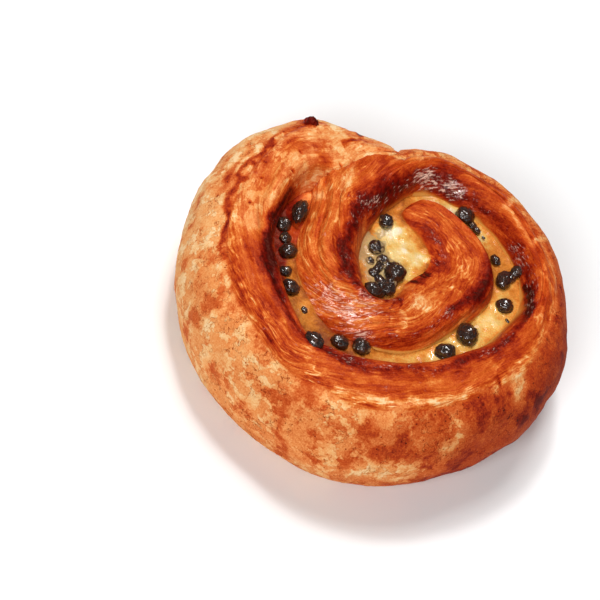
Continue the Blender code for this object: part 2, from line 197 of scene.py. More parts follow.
# Burnt bands, the last of them painted shade in the crease by the outer wall: (winding angle, place across,
# half width in places, how much more done).
RIM_BURN = (
    (130, 6.6, 0.8, 0.00), (150, 7.2, 0.9, 0.20), (165, 7.4, 0.9, 0.16), (185, 7.6, 1.0, 0.20),
    (203, 8.1, 1.0, 0.36), (215, 8.3, 1.2, 0.46), (230, 8.3, 1.3, 0.48), (255, 8.1, 1.3, 0.45),
    (275, 7.4, 1.1, 0.46), (300, 7.3, 1.2, 0.42), (320, 7.0, 1.4, 0.38), (335, 6.7, 1.4, 0.38),
    (352, 6.4, 1.4, 0.32), (370, 6.2, 1.3, 0.30), (386, 6.0, 0.9, 0.20), (410, 6.0, 0.8, 0.20),
    (425, 6.0, 0.8, 0.32), (435, 6.8, 0.8, 0.38), (445, 7.8, 0.8, 0.40), (455, 8.4, 0.8, 0.20),
    (470, 8.6, 0.7, 0.17), (490, 8.8, 0.8, 0.26), (510, 8.7, 0.8, 0.20), (525, 8.8, 0.9, 0.26),
    (538, 8.9, 1.4, 0.32), (552, 9.0, 1.5, 0.30), (566, 9.2, 1.2, 0.24), (580, 9.0, 1.5, 0.38),
    (597, 8.4, 1.6, 0.52), (607, 7.5, 1.4, 0.58), (618, 6.7, 1.4, 0.62), (629, 6.1, 1.2, 0.56),
    (636, 5.7, 1.0, 0.45), (641, 5.4, 0.8, 0.20), (648, 5.0, 0.8, 0.00),
)
LOBE_BURN = (
    (-13, 6.5, 1.5, 0.08), (20, 6.8, 1.4, 0.16), (50, 7.0, 1.2, 0.24), (75, 6.3, 1.0, 0.28),
    (95, 5.6, 0.9, 0.34), (108, 5.2, 0.8, 0.34), (125, 5.4, 0.7, 0.00),
)
FLANK_BURN = (
    (44, 12.0, 0.6, 0.00), (54, 12.0, 1.0, 0.26), (66, 12.0, 1.3, 0.42), (85, 11.9, 1.4, 0.48),
    (103, 11.7, 1.2, 0.42), (115, 11.9, 1.1, 0.32), (132, 12.2, 1.2, 0.28), (150, 12.9, 1.5, 0.24),
    (168, 13.6, 1.6, 0.24), (182, 14.2, 1.3, 0.14), (195, 14.4, 1.0, 0.00),
)
# Painted shade: the crease between the cut face and the outer wall is darkened in the crust's colour.
CREASE_PAINTED_SHADE = (
    (585, 13.8, 0.15, 0.00), (600, 13.6, 0.2, 0.30), (610, 13.3, 0.2, 0.50), (622, 13.1, 0.25, 0.55),
    (638, 12.95, 0.25, 0.55), (650, 12.8, 0.25, 0.40), (658, 13.1, 0.6, 0.36), (664, 13.3, 0.8, 0.46),
    (672, 13.2, 0.6, 0.00),
)
# Paler and darker marks: (winding angle, place, half length in degrees, half width in places, how
# much more done).
MARKS = (
    (-2, 11.3, 12, 0.5, 0.10), (68, 5.2, 10, 0.4, 0.22), (97, 6.3, 7, 1.1, 0.24), (132, 8.8, 11, 1.1, -0.17),
    (155, 10.6, 4, 1.9, -0.15), (153, 6.8, 3, 0.8, 0.22), (170, 9.0, 5, 1.5, 0.10),
    (303, 10.0, 9, 0.3, -0.14), (322, 9.0, 3.5, 0.45, -0.18), (287, 13.5, 3, 1.6, -0.14),
    (352, 10.5, 6, 1.6, -0.12), (363, 10.8, 1, 1.6, -0.16), (390, 10.4, 2.0, 3.2, -0.34),
    (408, 10.4, 1.5, 2.8, -0.30), (374, 8.0, 3, 0.9, -0.16), (396, 7.6, 12, 0.25, -0.24),
    (423, 9.6, 3.5, 1.5, -0.18), (445, 10.4, 2.5, 1.5, -0.12), (478, 10.4, 1.8, 1.5, -0.14),
    (506, 10.6, 7, 0.6, -0.12), (473, 13.6, 3.5, 1.1, -0.28), (500, 14.9, 3.5, 1.1, -0.24),
    (514, 17.0, 12, 0.7, -0.22), (500, 12.65, 45, 0.45, -0.22),
    (440, 12.4, 25, 0.3, -0.16), (460, 8.0, 14, 0.5, 0.08),
    (553, 11.3, 3.5, 0.7, -0.20), (567, 11.3, 2.5, 0.7, -0.16), (572, 8.4, 2.5, 1.6, -0.14),
    (608, 10.5, 3.5, 1.6, -0.14), (650, 10.6, 5, 1.1, 0.18), (657, 8.2, 3, 0.8, 0.18),
    (676, 11.0, 2.5, 0.9, 0.14), (683, 12.6, 1.6, 0.35, 0.50), (638, 14.0, 18, 0.35, 0.24),
    (575, 12.6, 16, 0.2, 0.16), (592, 15.6, 6, 0.7, 0.14), (628, 13.7, 12, 0.5, 0.16),
    (634, 10.0, 14, 1.4, 0.07), (622, 8.6, 8, 0.5, -0.12), (645, 8.6, 5, 0.7, -0.12),
    (583, 13.4, 7, 0.3, 0.14), (585, 12.7, 14, 0.3, -0.16),
)
# Bent streaks: (their points as winding angle and place, half width in places, how much more done).
STREAKS = (
    (((672, 10.0), (678, 10.9), (682, 12.2), (687, 13.4)), 0.25, 0.36),
    (((680, 10.3), (682.5, 11.7)), 0.25, -0.28),
    (((649, 6.2), (655, 8.0), (661, 9.8)), 0.6, 0.14),
    (((60, 5.4), (68, 5.9), (76, 6.6)), 0.3, 0.30),
    (((66, 5.1), (74, 5.7), (80, 6.3)), 0.2, 0.24),
    (((62, 6.3), (72, 7.2)), 0.2, -0.12),
    (((424, 5.4), (432, 6.2), (440, 7.4), (446, 8.4)), 0.3, 0.24),
    (((431, 5.2), (438, 6.4), (444, 7.4)), 0.2, 0.22),
    (((438, 8.8), (443, 10.2), (447, 11.8)), 0.35, -0.16),
    (((442, 8.8), (449, 11.0)), 0.25, -0.12),
    (((291, 10.3), (292, 9.0), (297, 8.3), (302, 8.9)), 0.15, -0.18),
    (((288, 10.6), (289, 8.9), (296, 7.9), (304, 8.4)), 0.12, -0.14),
    (((294, 10.0), (298, 9.3), (306, 9.5), (314, 10.3)), 0.3, -0.16),
    (((48, 9.2), (56, 8.9), (64, 8.8)), 0.12, -0.16),
    (((60, 9.4), (75, 9.1), (88, 9.5)), 0.12, -0.14),
    (((64, 7.2), (80, 7.8), (94, 8.3)), 0.12, -0.14),
    (((152, 8.0), (156, 8.7)), 0.35, 0.28),
    (((161, 7.6), (165, 9.4), (167, 11.0)), 0.25, 0.20),
    (((608, 7.6), (622, 6.3), (634, 5.4)), 0.12, -0.26),
    (((616, 7.8), (630, 6.9), (642, 5.8)), 0.12, -0.22),
)
DEGREES_PER_PLACE = 1.5  # about as far along the strip as a place is across it
# Small pits in the crust, dented into it and darkened with painted shade, as winding angle and place.
PITS = (
    (650, 9.4), (641, 7.9), (630, 11.1), (617, 11.3), (637, 12.0), (664, 7.9), (480, 12.6),
)
PIT_SIZE, PIT_DEPTH, PIT_PAINTED_SHADE = 0.35, 0.5, 0.5
THIN_GLOSS = 0.006  # what all of the crust has
# Where the egg wash lies thick and shines, and where highlights are painted into the crust's colour:
# (winding angle, place, half width, weight).
GLOSS = (
    (
        (-13, 7.5, 1.5, 0.03), (10, 7.6, 1.2, 0.10), (30, 7.4, 1.2, 0.30), (55, 6.8, 1.1, 0.25),
        (75, 5.8, 1.1, 0.10), (110, 5.6, 1.2, 0.06),
        (140, 6.5, 1.5, 0.15), (165, 9.0, 2.5, 0.35), (180, 10.0, 2.8, 0.90), (196, 11.0, 3.0, 1.00),
        (210, 12.6, 2.8, 0.90), (222, 12.5, 2.6, 0.30), (260, 11.0, 3.0, 0.15), (300, 9.0, 1.0, 0.0),
    ),
    (
        (190, 8.0, 1.0, 0.00), (215, 8.3, 1.0, 0.20), (255, 8.0, 1.0, 0.20), (300, 7.2, 1.2, 0.45),
        (335, 6.4, 1.2, 0.65), (350, 6.1, 1.2, 0.90), (370, 6.0, 1.2, 0.85), (382, 5.9, 1.2, 0.45),
        (400, 5.9, 1.3, 0.35), (430, 6.6, 1.3, 0.40), (455, 8.3, 1.2, 0.35), (500, 8.6, 1.3, 0.40),
        (545, 8.0, 1.5, 0.60), (570, 8.0, 1.4, 0.20), (600, 8.2, 1.2, 0.04), (640, 5.6, 1.0, 0.10),
        (660, 5.0, 1.0, 0.00),
    ),
    (
        (40, 11.2, 0.8, 0.00), (75, 11.0, 1.0, 0.08), (112, 11.6, 1.2, 0.35), (130, 12.0, 1.5, 0.50),
        (160, 13.2, 1.5, 0.50), (180, 14.0, 1.5, 0.50), (200, 14.0, 1.0, 0.00),
    ),
)
BASE_RIM = 5.0  # how high the paler, crumbly rim of the wall's base reaches
BASE_PALENESS = 0.12
# How deep the crease is between the cut face and the outer wall: (winding angle, mm).
CREASE_DEPTH = ((330, 0.0), (440, 0.15), (560, 0.15), (600, 0.35), (640, 0.55), (665, 0.4), (690, 0))
# The crease lies a little inside the face's end and has a lip beside it: (places from the end,
# half width, share of the depth).
CREASE = (0.1, 0.16, -1.0)
LIP = (0.65, 0.35, 0.6)
# Where the cut ends of the layers show as lines: (winding angle, place, half width, strength).
LAYERED = (
    (
        (-13, 9.5, 1.8, 0.35), (60, 9.0, 1.5, 0.55), (120, 9.0, 2.0, 0.45), (180, 11.0, 3.0, 0.55),
        (240, 12.0, 3.5, 0.45), (290, 12.0, 3.0, 0.30), (310, 10.0, 2.0, 0.00),
    ),
    (
        (320, 12.6, 0.8, 0.20), (400, 12.7, 0.7, 0.50), (450, 12.6, 0.6, 0.60), (530, 12.8, 0.9, 0.80),
        (560, 13.2, 1.0, 0.90), (600, 13.2, 0.9, 0.60), (640, 12.6, 0.6, 0.30), (702, 12.5, 1.0, 0.2),
    ),
)
FAINT_LAYERS = 0.25  # how clearly they show everywhere else
FAINT_RIDGES = 0.3  # and how far they stand out there
# How high the cream has climbed above its level: (winding angle, millimetres).
CLIMB_INNER = (
    (-13, 0.9), (60, 0.8), (110, 0.6), (150, 1.0), (200, 2.2), (250, 1.8), (300, 1.6), (352, 2.0),
    (400, 1.4), (425, 1.8), (437, 4.2), (455, 5.6), (470, 5.2), (500, 4.0), (525, 3.0), (540, 1.2),
    (570, 1.8), (600, 1.0), (660, 0.6),
)
CLIMB_OUTER = (
    (-13, 1.0), (60, 1.0), (85, 2.4), (120, 2.2), (140, 0.9), (200, 0.8), (240, 1.0), (292, 0.8),
)
CLIMB_FADE = 1.3  # how far up it fades out, for each millimetre of its climb
GROOVE_SMEAR_LOSS = 0.9  # how much less of it shows beside cream that has baked to crust
POOL_SMEAR = 0.6
# How far the layers run outwards across the strip, past its own curve: (winding angle, mm).
LAYER_DRIFT = (
    (-13, 0), (60, 2), (150, 6), (175, 9), (225, 22), (292, 26), (340, 30), (430, 46), (520, 53),
    (702, 70),
)

# Swaying of the layers, of the cut face's end and of the cream's climb, and ridges of the
# layers: (reach, length and width of the swellings, number for the noise).
LAYER_SWAY = (1.2, 16, 7, 5)
EDGE_SWAY = (0.35, 9, 1, 8)
CLIMB_SWAY = (0.5, 4, 4, 9)
LAYER_RIDGES = ((0.20, 13, 0.9, 21), (0.12, 6, 0.5, 22))
# Wandering of the bands, marks and streaks, in degrees and in places, and then low relief and
# patches: (reach, size of the swellings, layers, number for the noise).
DEGREE_SWAY = (1.6, 4, 3, 71)
PLACE_SWAY = (0.35, 4, 3, 74)
BURNT_BUMPS = (0.16, 1.6, 2, 31)
SKIN_BUMPS = (0.30, 6.0, 3, 41)
BASE_CRUMBS = (0.7, 1.5, 2, 42)
FINE_BUMPS = (0.06, 0.9, 1, 51)
CREAM_BUMPS = (0.24, 2.0, 3, 61)
CREAM_PATCHES = (0.15, 3.0, 3, 62)
SPOT_SWAY = (0.5, 1.5, 1, 63)
EDGE_PATCHES = (0.5, 4.0, 1, 64)
FILM_PATCHES = (0.4, 1.5, 2, 65)
KNOB_BUMPS = (0.3, 0.25, 2, 92)
SKIN_SINK = 0.40  # how far the wall lies back, so that its bumps stay inside the outline
BURNT_FROM, BURNT_TO = 0.62, 0.87

CREAM_REACH = 0.5  # how far the cream reaches into the dough that is seen
CREAM_SIDES, CREAM_RINGS = 320, 76
CREAM_OVERREACH = 7.0
CREAM_CLOSING = 12.0
CREAM_TURN = 336.0
CREAM_COLOURS = (
    (0.00, (242, 224, 190)), (0.15, (230, 200, 136)), (0.34, (224, 176, 92)),
    (0.52, (212, 134, 54)), (0.68, (186, 108, 36)), (0.82, (148, 74, 24)), (1.00, (140, 46, 16)),
)
CREAM_PALENESS = 0.245  # where fresh cream stands among these colours
# The grey of the thin film of cream, which is also painted round the chips in the pool as shade.
CREAM_FILM_AND_SHADE_COLOUR = (172, 144, 102)
# How far the cream stands up against the dough and round the chips: (height, reach).
DOUGH_RISE = (0.35, 0.9)
CHIP_RISE = (0.35, 0.7)
CHIP_RISE_AT = 0.2  # this far outside the chips
TOP_DEPTH = 2.0  # how deep the top of the cream reaches, which alone rises
# How much browner it is where it meets the dough, and how far out: (in the pool, in the groove).
EDGE_BROWNING = (0.44, 0.18)
EDGE_REACH = (2.0, 1.2)
POOL_MARGIN = (2.0, 5.0)  # the groove's cream begins between these distances from the pool's edge
OUTER_SIDE = (-0.64, 0.96)  # and its outer side between these from the groove's line
# Painted shade round the chips in the pool: how strongly the cream is greyed, and how far out it fades.
PAINTED_SHADE_ROUND_CHIPS = (0.3, 0.7)
# How brown the cream of the groove is, with painted shade added towards its end, where it runs narrow and
# deep between dark flanks: (angle, browning).
GROOVE_BROWNING_AND_SHADE = (
    (0, 0.10), (20, 0.12), (45, 0.28), (65, 0.30), (85, 0.10), (120, 0.04), (140, 0.14),
    (165, 0.22), (180, 0.48), (192, 0.52), (205, 0.36), (220, 0.36), (240, 0.50), (255, 0.66),
    (292, 0.76), (330, 0.5), (360, 0.10),
)
# How far it has baked to crust like the dough's, all over and on its outer side: (angle, share).
GROOVE_CRUST = (
    (0, 0.0), (215, 0.0), (232, 0.20), (245, 0.40), (256, 0.70), (275, 0.90), (292, 0.90),
    (320, 0.5), (345, 0.0), (360, 0.0),
)
OUTER_CRUST = (
    (0, 0.0), (165, 0.0), (200, 0.15), (225, 0.45), (260, 1.0), (292, 1.0), (345, 0.0), (360, 0.0),
)
INNER_CRUST_DONENESS, OUTER_CRUST_DONENESS = 0.67, 0.86
# Paler and darker spots of this crust: (x and y from the axis, half size, how much more done).
CRUST_MARKS = ((-27.9, 6.4, 1.2, -0.30), (-29.8, 6.6, 1.3, -0.16), (-28.6, 9.2, 2.0, -0.42))
# Browner and paler spots of the cream: (x and y from the axis, half size, how much browner).
CREAM_MARKS = (
    (-7.7, 21.3, 3.2, 0.30), (-11.0, 17.0, 3.5, 0.36), (-10.5, 8.0, 2.0, 0.20), (4.4, 12.0, 2.2, 0.04),
    (6.9, 8.6, 1.6, -0.20), (-4.7, -6.2, 1.8, 0.20), (-2.8, 13.4, 1.1, -0.60),
    (-6.0, 10.9, 2.2, -0.25), (2.7, 6.8, 3.0, -0.12), (1.2, 8.5, 1.0, -0.20), (6.9, 28.8, 2.0, -0.25),
    (18.5, 25.6, 1.6, -0.20), (30.8, -0.5, 3.0, -0.10), (20.1, -20.5, 3.0, -0.10),
)
# Where the cream lies as a thin grey film round the chips: (x, y, half size, strength).
CREAM_FILMS = (
    (-8.2, 3.9, 3.8, 1.3), (-5.7, 0.5, 3.6, 1.3), (-6.5, 9.8, 2.4, 0.6), (-2.5, -4.5, 3.5, 1.0),
    (-1.0, 2.0, 2.8, 1.0), (6.9, 28.8, 1.4, 0.3),
)
# Chips that the cream partly covers: (number, how much).
FILMED_CHIPS = {3: 0.25, 5: 0.25, 10: 0.2, 19: 0.3, 20: 0.45, 21: 0.35, 23: 0.3, 26: 0.5}
# Chocolate that has melted between the chips, in the same form as the chips.
MELTED = (
    (156.8, 4.6, 5.0, 3.8, 67, 0.5), (189.5, 5.5, 5.4, 3.0, -18, 0.4), (241.9, 3.4, 4.6, 2.6, -36, 0.4),
    (178.7, 9.0, 4.2, 3.6, 44, 0.6), (284, 0.8, 3.8, 3.2, 76, 0.5), (85, 34.1, 1.6, 0.8, 60, 0.6),
    (36, 31.6, 1.2, 0.7, 20, 0.4), (60.5, 34.0, 5.0, 3.4, -54, 0.9), (26.5, 31.2, 5.0, 2.4, 2, 0.4),
)
MELTED_HEIGHT = 0.62
MELTED_FILM = 0.3

# Chocolate chips: (angle, radius, length, width, turn of the length from the groove, height).
CHIPS = (
    (273.4, 28.4, 8.4, 4.4, 10, 1.8), (262.3, 30.8, 4.6, 4.2, 0, 0.8), (254.6, 29.5, 3.8, 3.2, -10, 0.5),
    (245.5, 28.7, 5.2, 4.8, -65, 1.0), (233.2, 30.4, 4.0, 3.4, -80, 0.5),
    (223.6, 30.7, 5.2, 4.7, 25, 0.8), (209.6, 30.6, 2.4, 2.0, -10, 0.2),
    (193.2, 40.6, 6.0, 5.0, -10, 6.8), (185.7, 31.1, 5.2, 4.2, 5, 0.7),
    (175.3, 29.0, 5.4, 4.9, -15, 0.9), (127.2, 28.6, 5.9, 5.2, -30, 1.1),
    (108.6, 27.4, 6.8, 6.0, 60, 1.5), (77.9, 32.3, 5.0, 4.6, -85, 0.9),
    (63.0, 31.9, 6.0, 4.4, -25, 1.2), (57.7, 36.3, 4.0, 3.6, -75, 1.3), (50.6, 31.2, 3.6, 2.5, 20, 1.0),
    (21.6, 30.8, 5.6, 5.2, -25, 1.3), (31.0, 30.9, 2.9, 1.9, 15, 0.7),
    (333.3, 15.2, 4.4, 4.1, -65, 1.1), (305.5, 7.3, 4.9, 4.3, -35, 0.6),
    (292.1, 3.0, 3.8, 3.2, -60, 0.7), (127, 2.0, 6.0, 5.7, -80, 1.3),
    (219.2, 5.5, 3.2, 2.8, 25, 0.6), (164.3, 7.4, 4.2, 3.8, 60, 1.1), (188.7, 10.9, 5.6, 5.2, -5, 1.6),
    (260.5, 5.9, 2.6, 2.2, 80, 0.4),
)
CHIP_HEIGHT = 0.86
CHIP_DENTS = 0.09
CHIP_DENT_FINENESS = 3
CHIP_WRINKLES = (0.10, 0.2, 3, 83)
CHIP_FILM_RAGS = (1.2, 1 / 3, 2, 84)
CHIP_BARE_FILM = 0.05
# Creases of the chips, dented into them and darkened with painted shade in their colour: (share, fineness,
# half width, number for the noise).
CHIP_CREASES = ((1.0, 4.2, 0.16, 81), (0.6, 8.0, 0.2, 82))
CHIP_CREASE_DEPTH = 0.10
CHIP_SEED = 11
CHIP_SUBDIVISIONS = 4
KNOB_SUBDIVISIONS = 5


def through(knots, at):
    """The smooth curve through the knots (place, value), read at many places."""
    x, y = np.array(knots, float).T
    spots = np.arange(len(x))
    low, high = np.maximum(spots - 1, 0), np.minimum(spots + 1, len(x) - 1)
    slope = (y[high] - y[low]) / (x[high] - x[low])
    at = np.clip(at, x[0], x[-1])
    i = np.clip(np.searchsorted(x, at, side="right") - 1, 0, len(x) - 2)
    span = x[i + 1] - x[i]
    return hermite((at - x[i]) / span, y[i], y[i + 1], slope[i] * span, slope[i + 1] * span)


def hermite(s, start, end, start_slope, end_slope):
    return (
        (2 * s**3 - 3 * s**2 + 1) * start
        + (s**3 - 2 * s**2 + s) * start_slope
        + (3 * s**2 - 2 * s**3) * end
        + (s**3 - s**2) * end_slope
    )


def ease(x, low=0.0, high=1.0):
    """0 below low, 1 above high, and smooth between."""
    x = np.clip((x - low) / (high - low), 0.0, 1.0)
    return x * x * (3 - 2 * x)


def bell(offset, half):
    """1 at no offset, fading out past the half width."""
    return np.exp(-((offset / half) ** 2))


def mix(a, b, share):
    return a + (b - a) * share


def polar(angle, radius, height):
    turn = np.radians(angle)
    place = (radius * np.sin(turn), radius * np.cos(turn), height + 0 * turn)
    return np.stack(np.broadcast_arrays(*place), axis=-1)


def outline_radius(angle):
    """From the axis to the outline."""
    turn = np.radians(angle)
    across = BODY_CENTRE_Y * np.sin(turn)
    circle = BODY_CENTRE_Y * np.cos(turn) + np.sqrt(ROLL_RADIUS**2 - across**2)
    return circle - through(OUTLINE_INSET, angle)


def groove_half_width(winding):
    return through(GROOVE_HALF_WIDTH, np.where(winding < TAIL_TOP, winding, winding - 360))


def strip_edges(winding):
    """The strip's inner and outer radius at the cream's level."""
    inner = np.where(
        winding < SECOND_TURN,
        through(POOL_EDGE, winding),
        through(GROOVE_LINE, winding - 360) + groove_half_width(winding),
    )
    outer = np.where(
        winding < TAIL_TOP,
        through(GROOVE_LINE, winding) - groove_half_width(winding),
        outline_radius(winding - 360),
    )
    return inner, outer


def end_rounding(winding):
    """Rounds the strip off at its two ends: 1 along it, falling to THINNEST_END at each end."""
    from_end = np.minimum(
        (winding - INNER_END) / INNER_END_ROUNDING,
        (OUTER_END - winding) / OUTER_END_ROUNDING,
    )
    rounded = np.sqrt(np.maximum(1 - np.maximum(1 - from_end, 0) ** 2, 0))
    return np.maximum(rounded, THINNEST_END)


def cream_side(lean, rim, run, base_inset):
    """A side of the strip that meets the cream, from the base up to its rim: (distances in from
    the edge at the cream's level, heights)."""
    flat = np.zeros_like(lean)
    insets = [base_inset - lean, -lean, -lean, -0.5 * lean, flat]
    heights = [0.0, BASE_CHAMFER, TAPER_BOTTOM, (TAPER_BOTTOM + TAPER_TOP) / 2, TAPER_TOP]
    heights = [flat + height for height in heights]
    for along, up in FLANK:
        insets.append(run * along)
        heights.append(mix(CREAM_LEVEL, rim, up))
    return np.array(insets), np.array(heights)


def outer_wall(outer, crown, squeeze, foot):
    """The strip's free side, from its crown down to the base: (radii, heights)."""
    inset, share = (np.array(side)[:, None] for side in zip(*OUTER_WALL))
    height = crown * share
    kept = np.where(height < FOOT_HEIGHT, 1 - foot, 1.0)
    return outer - inset * kept * squeeze, height


def strip_sections(winding):
    """The strip cut across at many places: radii and heights, one row for each place."""
    inner, outer = strip_edges(winding)
    rounding = end_rounding(winding)
    middle = (inner + outer) / 2
    half = (outer - inner) / 2 * rounding
    inner, outer = middle - half, middle + half
    squeeze = np.minimum(1.0, 2 * half / FULL_WIDTH)
    lean = np.maximum(groove_half_width(winding) - DEEP_HALF_WIDTH, 0)
    to_groove = ease(winding, POOL_END, SECOND_TURN)
    lean_in = mix(POOL_NARROWING, lean, to_groove) * rounding
    lean_out = np.where(winding < TAIL_TOP, lean, 0.0) * rounding
    inner_rim, crown, outer_rim = (
        mix(CREAM_LEVEL + END_RISE, through(heights, winding), rounding)
        for heights in (INNER_RIM_HEIGHT, CROWN_HEIGHT, OUTER_RIM_HEIGHT)
    )
    inner_run = through(INNER_RIM_RUN, winding) * squeeze
    outer_run = through(OUTER_RIM_RUN, winding) * squeeze
    base_inset = BASE_CHAMFER * squeeze

    inset, inner_height = cream_side(lean_in, inner_rim, inner_run, base_inset)
    inner_radius = inner + inset
    inset, groove_height = cream_side(lean_out, outer_rim, outer_run, base_inset)
    groove_radius = (outer - inset)[::-1]
    wall_radius, wall_height = outer_wall(outer, crown, squeeze, through(FOOT, winding - 360))
    freed = ease(winding, GROOVE_END, SECOND_TURN)
    outer_radius = mix(groove_radius, wall_radius, freed)
    outer_height = mix(groove_height[::-1], wall_height, freed)
    across, lift = (np.array(side)[:, None] for side in zip(*TOP))
    top_radius = mix(inner_radius[-1], outer_radius[0], across)
    top_height = crown + lift * rounding
    radii = np.concatenate((inner_radius, top_radius, outer_radius))
    heights = np.concatenate((inner_height, top_height, outer_height))
    return radii.T, heights.T


def refine(radii, heights):
    """Reads each section's smooth curve at the fine grain."""
    run = np.hypot(np.diff(radii, axis=1), np.diff(heights, axis=1)) + 1e-6
    at = np.concatenate((np.zeros((len(run), 1)), np.cumsum(run, axis=1)), axis=1)
    fine = []
    for values in (radii, heights):
        last = values.shape[1] - 1
        spots = np.arange(last + 1)
        low, high = np.maximum(spots - 1, 0), np.minimum(spots + 1, last)
        slope = (values[:, high] - values[:, low]) / (at[:, high] - at[:, low])
        rows = []
        for j, steps in enumerate(STRETCH_STEPS):
            s = np.arange(steps) / steps
            span = run[:, j, None]
            rows.append(hermite(
                s, values[:, j, None], values[:, j + 1, None],
                slope[:, j, None] * span, slope[:, j + 1, None] * span,
            ))
        back = np.arange(BASE_STEPS) / BASE_STEPS
        rows.append(mix(values[:, -1:], values[:, :1], back))
        fine.append(np.concatenate(rows, axis=1))
    return fine[0], np.maximum(fine[1], 0.0)


def even_windings():
    """Winding angles whose sections stand SECTION_STEP apart along the strip's outer edge."""
    rough = np.linspace(INNER_END, OUTER_END, 2000)
    outer = strip_edges(rough)[1]
    length = np.concatenate(([0.0], np.cumsum(np.radians(np.diff(rough)) * outer[1:])))
    count = round(length[-1] / SECTION_STEP)
    return np.interp(np.linspace(0, length[-1], count), length, rough)


def random_at(cells, seed):
    """A steady random number from -1 to 1 for each whole-numbered cell."""
    mixed = np.full(cells.shape[:-1], seed, np.uint32)
    for axis in range(cells.shape[-1]):
        mixed = (mixed ^ cells[..., axis].astype(np.uint32)) * np.uint32(0x9E3779B1)
        mixed ^= mixed >> np.uint32(15)
    return mixed / 2.0**31 - 1.0


def smooth_noise(points, seed=0):
    """Smooth noise from -1 to 1, with about one swelling for each unit of distance."""
    cells = np.floor(points).astype(np.int64)
    part = ease(points - cells)
    total = np.zeros(points.shape[:-1])
    for corner in itertools.product((0, 1), repeat=points.shape[-1]):
        weight = np.prod(np.where(corner, part, 1 - part), axis=-1)
        total += weight * random_at(cells + corner, seed)
    return total


def layered_noise(points, layers=3, seed=0):
    """Noise with finer and weaker layers on top."""
    return sum(smooth_noise(points * 2**i, seed + i) / 2**i for i in range(layers))


def swellings(points, reach, size, layers, seed):
    """Layered noise of this reach, with swellings of this size."""
    return reach * layered_noise(points / size, layers, seed)


def swaying(along, across, reach, length, width, seed):
    """Smooth noise over the strip, with swellings of this length and width."""
    return reach * smooth_noise(np.stack((along / length, across / width), -1), seed)


def soften_seam(windings, radii, heights):
    """Lifts the two turns where one runs into the other, so that they meet in a soft valley."""
    softened = heights.copy()
    for row, winding in enumerate(windings):
        other = winding + 360 if winding < 360 else winding - 360
        if not (SEAM_START <= min(winding, other) and max(winding, other) <= OUTER_END):
            continue
        near = np.argmin(abs(windings - other))
        top = heights[near] > CREAM_LEVEL
        order = np.argsort(radii[near][top])
        beside = np.interp(radii[row], radii[near][top][order], heights[near][top][order], 0, 0)
        apart = np.maximum(SEAM_SOFTNESS - abs(heights[row] - beside), 0)
        softened[row] += apart**2 / (4 * SEAM_SOFTNESS)
    return softened


def uneven(points):
    """Moves points of the dough a little, by soft swellings that fade out at the flat base."""
    swelling = np.array([
        [noise.noise(place / SWELLING_SIZE + apart) for apart in SWELLINGS_APART]
        for place in map(Vector, points.reshape(-1, 3))
    ]).reshape(points.shape)
    return points + UNEVENNESS * swelling * ease(points[..., 2:], FADE_BOTTOM, FADE_TOP)


def new_ball(name, subdivisions, radius):
    """A round mesh, and its points."""
    bm = bmesh.new()
    bmesh.ops.create_icosphere(bm, subdivisions=subdivisions, radius=radius)
    mesh = bpy.data.meshes.new(name)
    bm.to_mesh(mesh)
    bm.free()
    return mesh, np.array([vertex.co for vertex in mesh.vertices])


def move_points(mesh, points):
    """Moves the mesh's points to these, in millimetres about the spiral's axis."""
    mesh.vertices.foreach_set("co", ((points + AXIS) * MM).astype(np.float32).ravel())


def add_measures(mesh, **measures):
    """Notes numbers or vectors for each point, which the mesh's material reads."""
    for name, values in measures.items():
        kind, field = ("FLOAT", "value") if values.ndim == 1 else ("FLOAT_VECTOR", "vector")
        attribute = mesh.attributes.new(name, kind, "POINT")
        attribute.data.foreach_set(field, values.astype(np.float32).ravel())


def place_piece(name, mesh, material):
    mesh.shade_smooth()
    mesh.materials.clear()
    mesh.materials.append(material)
    piece = bpy.data.objects.new(name, mesh)
    bpy.context.scene.collection.objects.link(piece)
    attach(piece, "root")
    return piece


def strip_faces(rows, columns):
    """The faces between closed sections, with a fan at each end round one more point."""
    spots = np.arange(rows * columns).reshape(rows, columns)
    a, b = spots[:-1], spots[1:]
    quads = np.stack((a, np.roll(a, -1, 1), np.roll(b, -1, 1), b), axis=-1).reshape(-1, 4)
    faces = quads.tolist()
    for ring, middle in ((spots[0][::-1], rows * columns), (spots[-1], rows * columns + 1)):
        faces += [
            (int(ring[i]), int(ring[(i + 1) % columns]), middle) for i in range(columns)
        ]
    return faces


def band(knots, winding, place):
    """How strongly a burnt band shows at points of the strip."""
    columns = list(zip(*knots))
    middle, half, strength = (
        through(list(zip(columns[0], column)), winding) for column in columns[1:]
    )
    inside = (winding > columns[0][0]) & (winding < columns[0][-1])
    return np.where(inside, strength * bell(place - middle, half), 0.0)


def line_distance(line, winding, place):
    """How far points of the strip lie from a bent line, in places."""
    x, y = winding / DEGREES_PER_PLACE, place
    nearest = np.full(x.shape, np.inf)
    for (start, low), (end, high) in zip(line, line[1:]):
        run, rise = (end - start) / DEGREES_PER_PLACE, high - low
        dx, dy = x - start / DEGREES_PER_PLACE, y - low
        share = np.clip((dx * run + dy * rise) / (run**2 + rise**2), 0, 1)
        nearest = np.minimum(nearest, np.hypot(dx - share * run, dy - share * rise))
    return nearest


def grid_normals(points):
    """The direction out of the surface at each point of a grid."""
    along = np.gradient(points, axis=0)
    across = np.roll(points, -1, axis=1) - np.roll(points, 1, axis=1)
    normal = np.cross(along, across)
    return normal / (np.linalg.norm(normal, axis=-1, keepdims=True) + 1e-9)


def strip_places():
    """The place across the strip of each point of a section."""
    steps = STRETCH_STEPS + (BASE_STEPS,)
    return np.concatenate([j + np.arange(n) / n for j, n in enumerate(steps)])


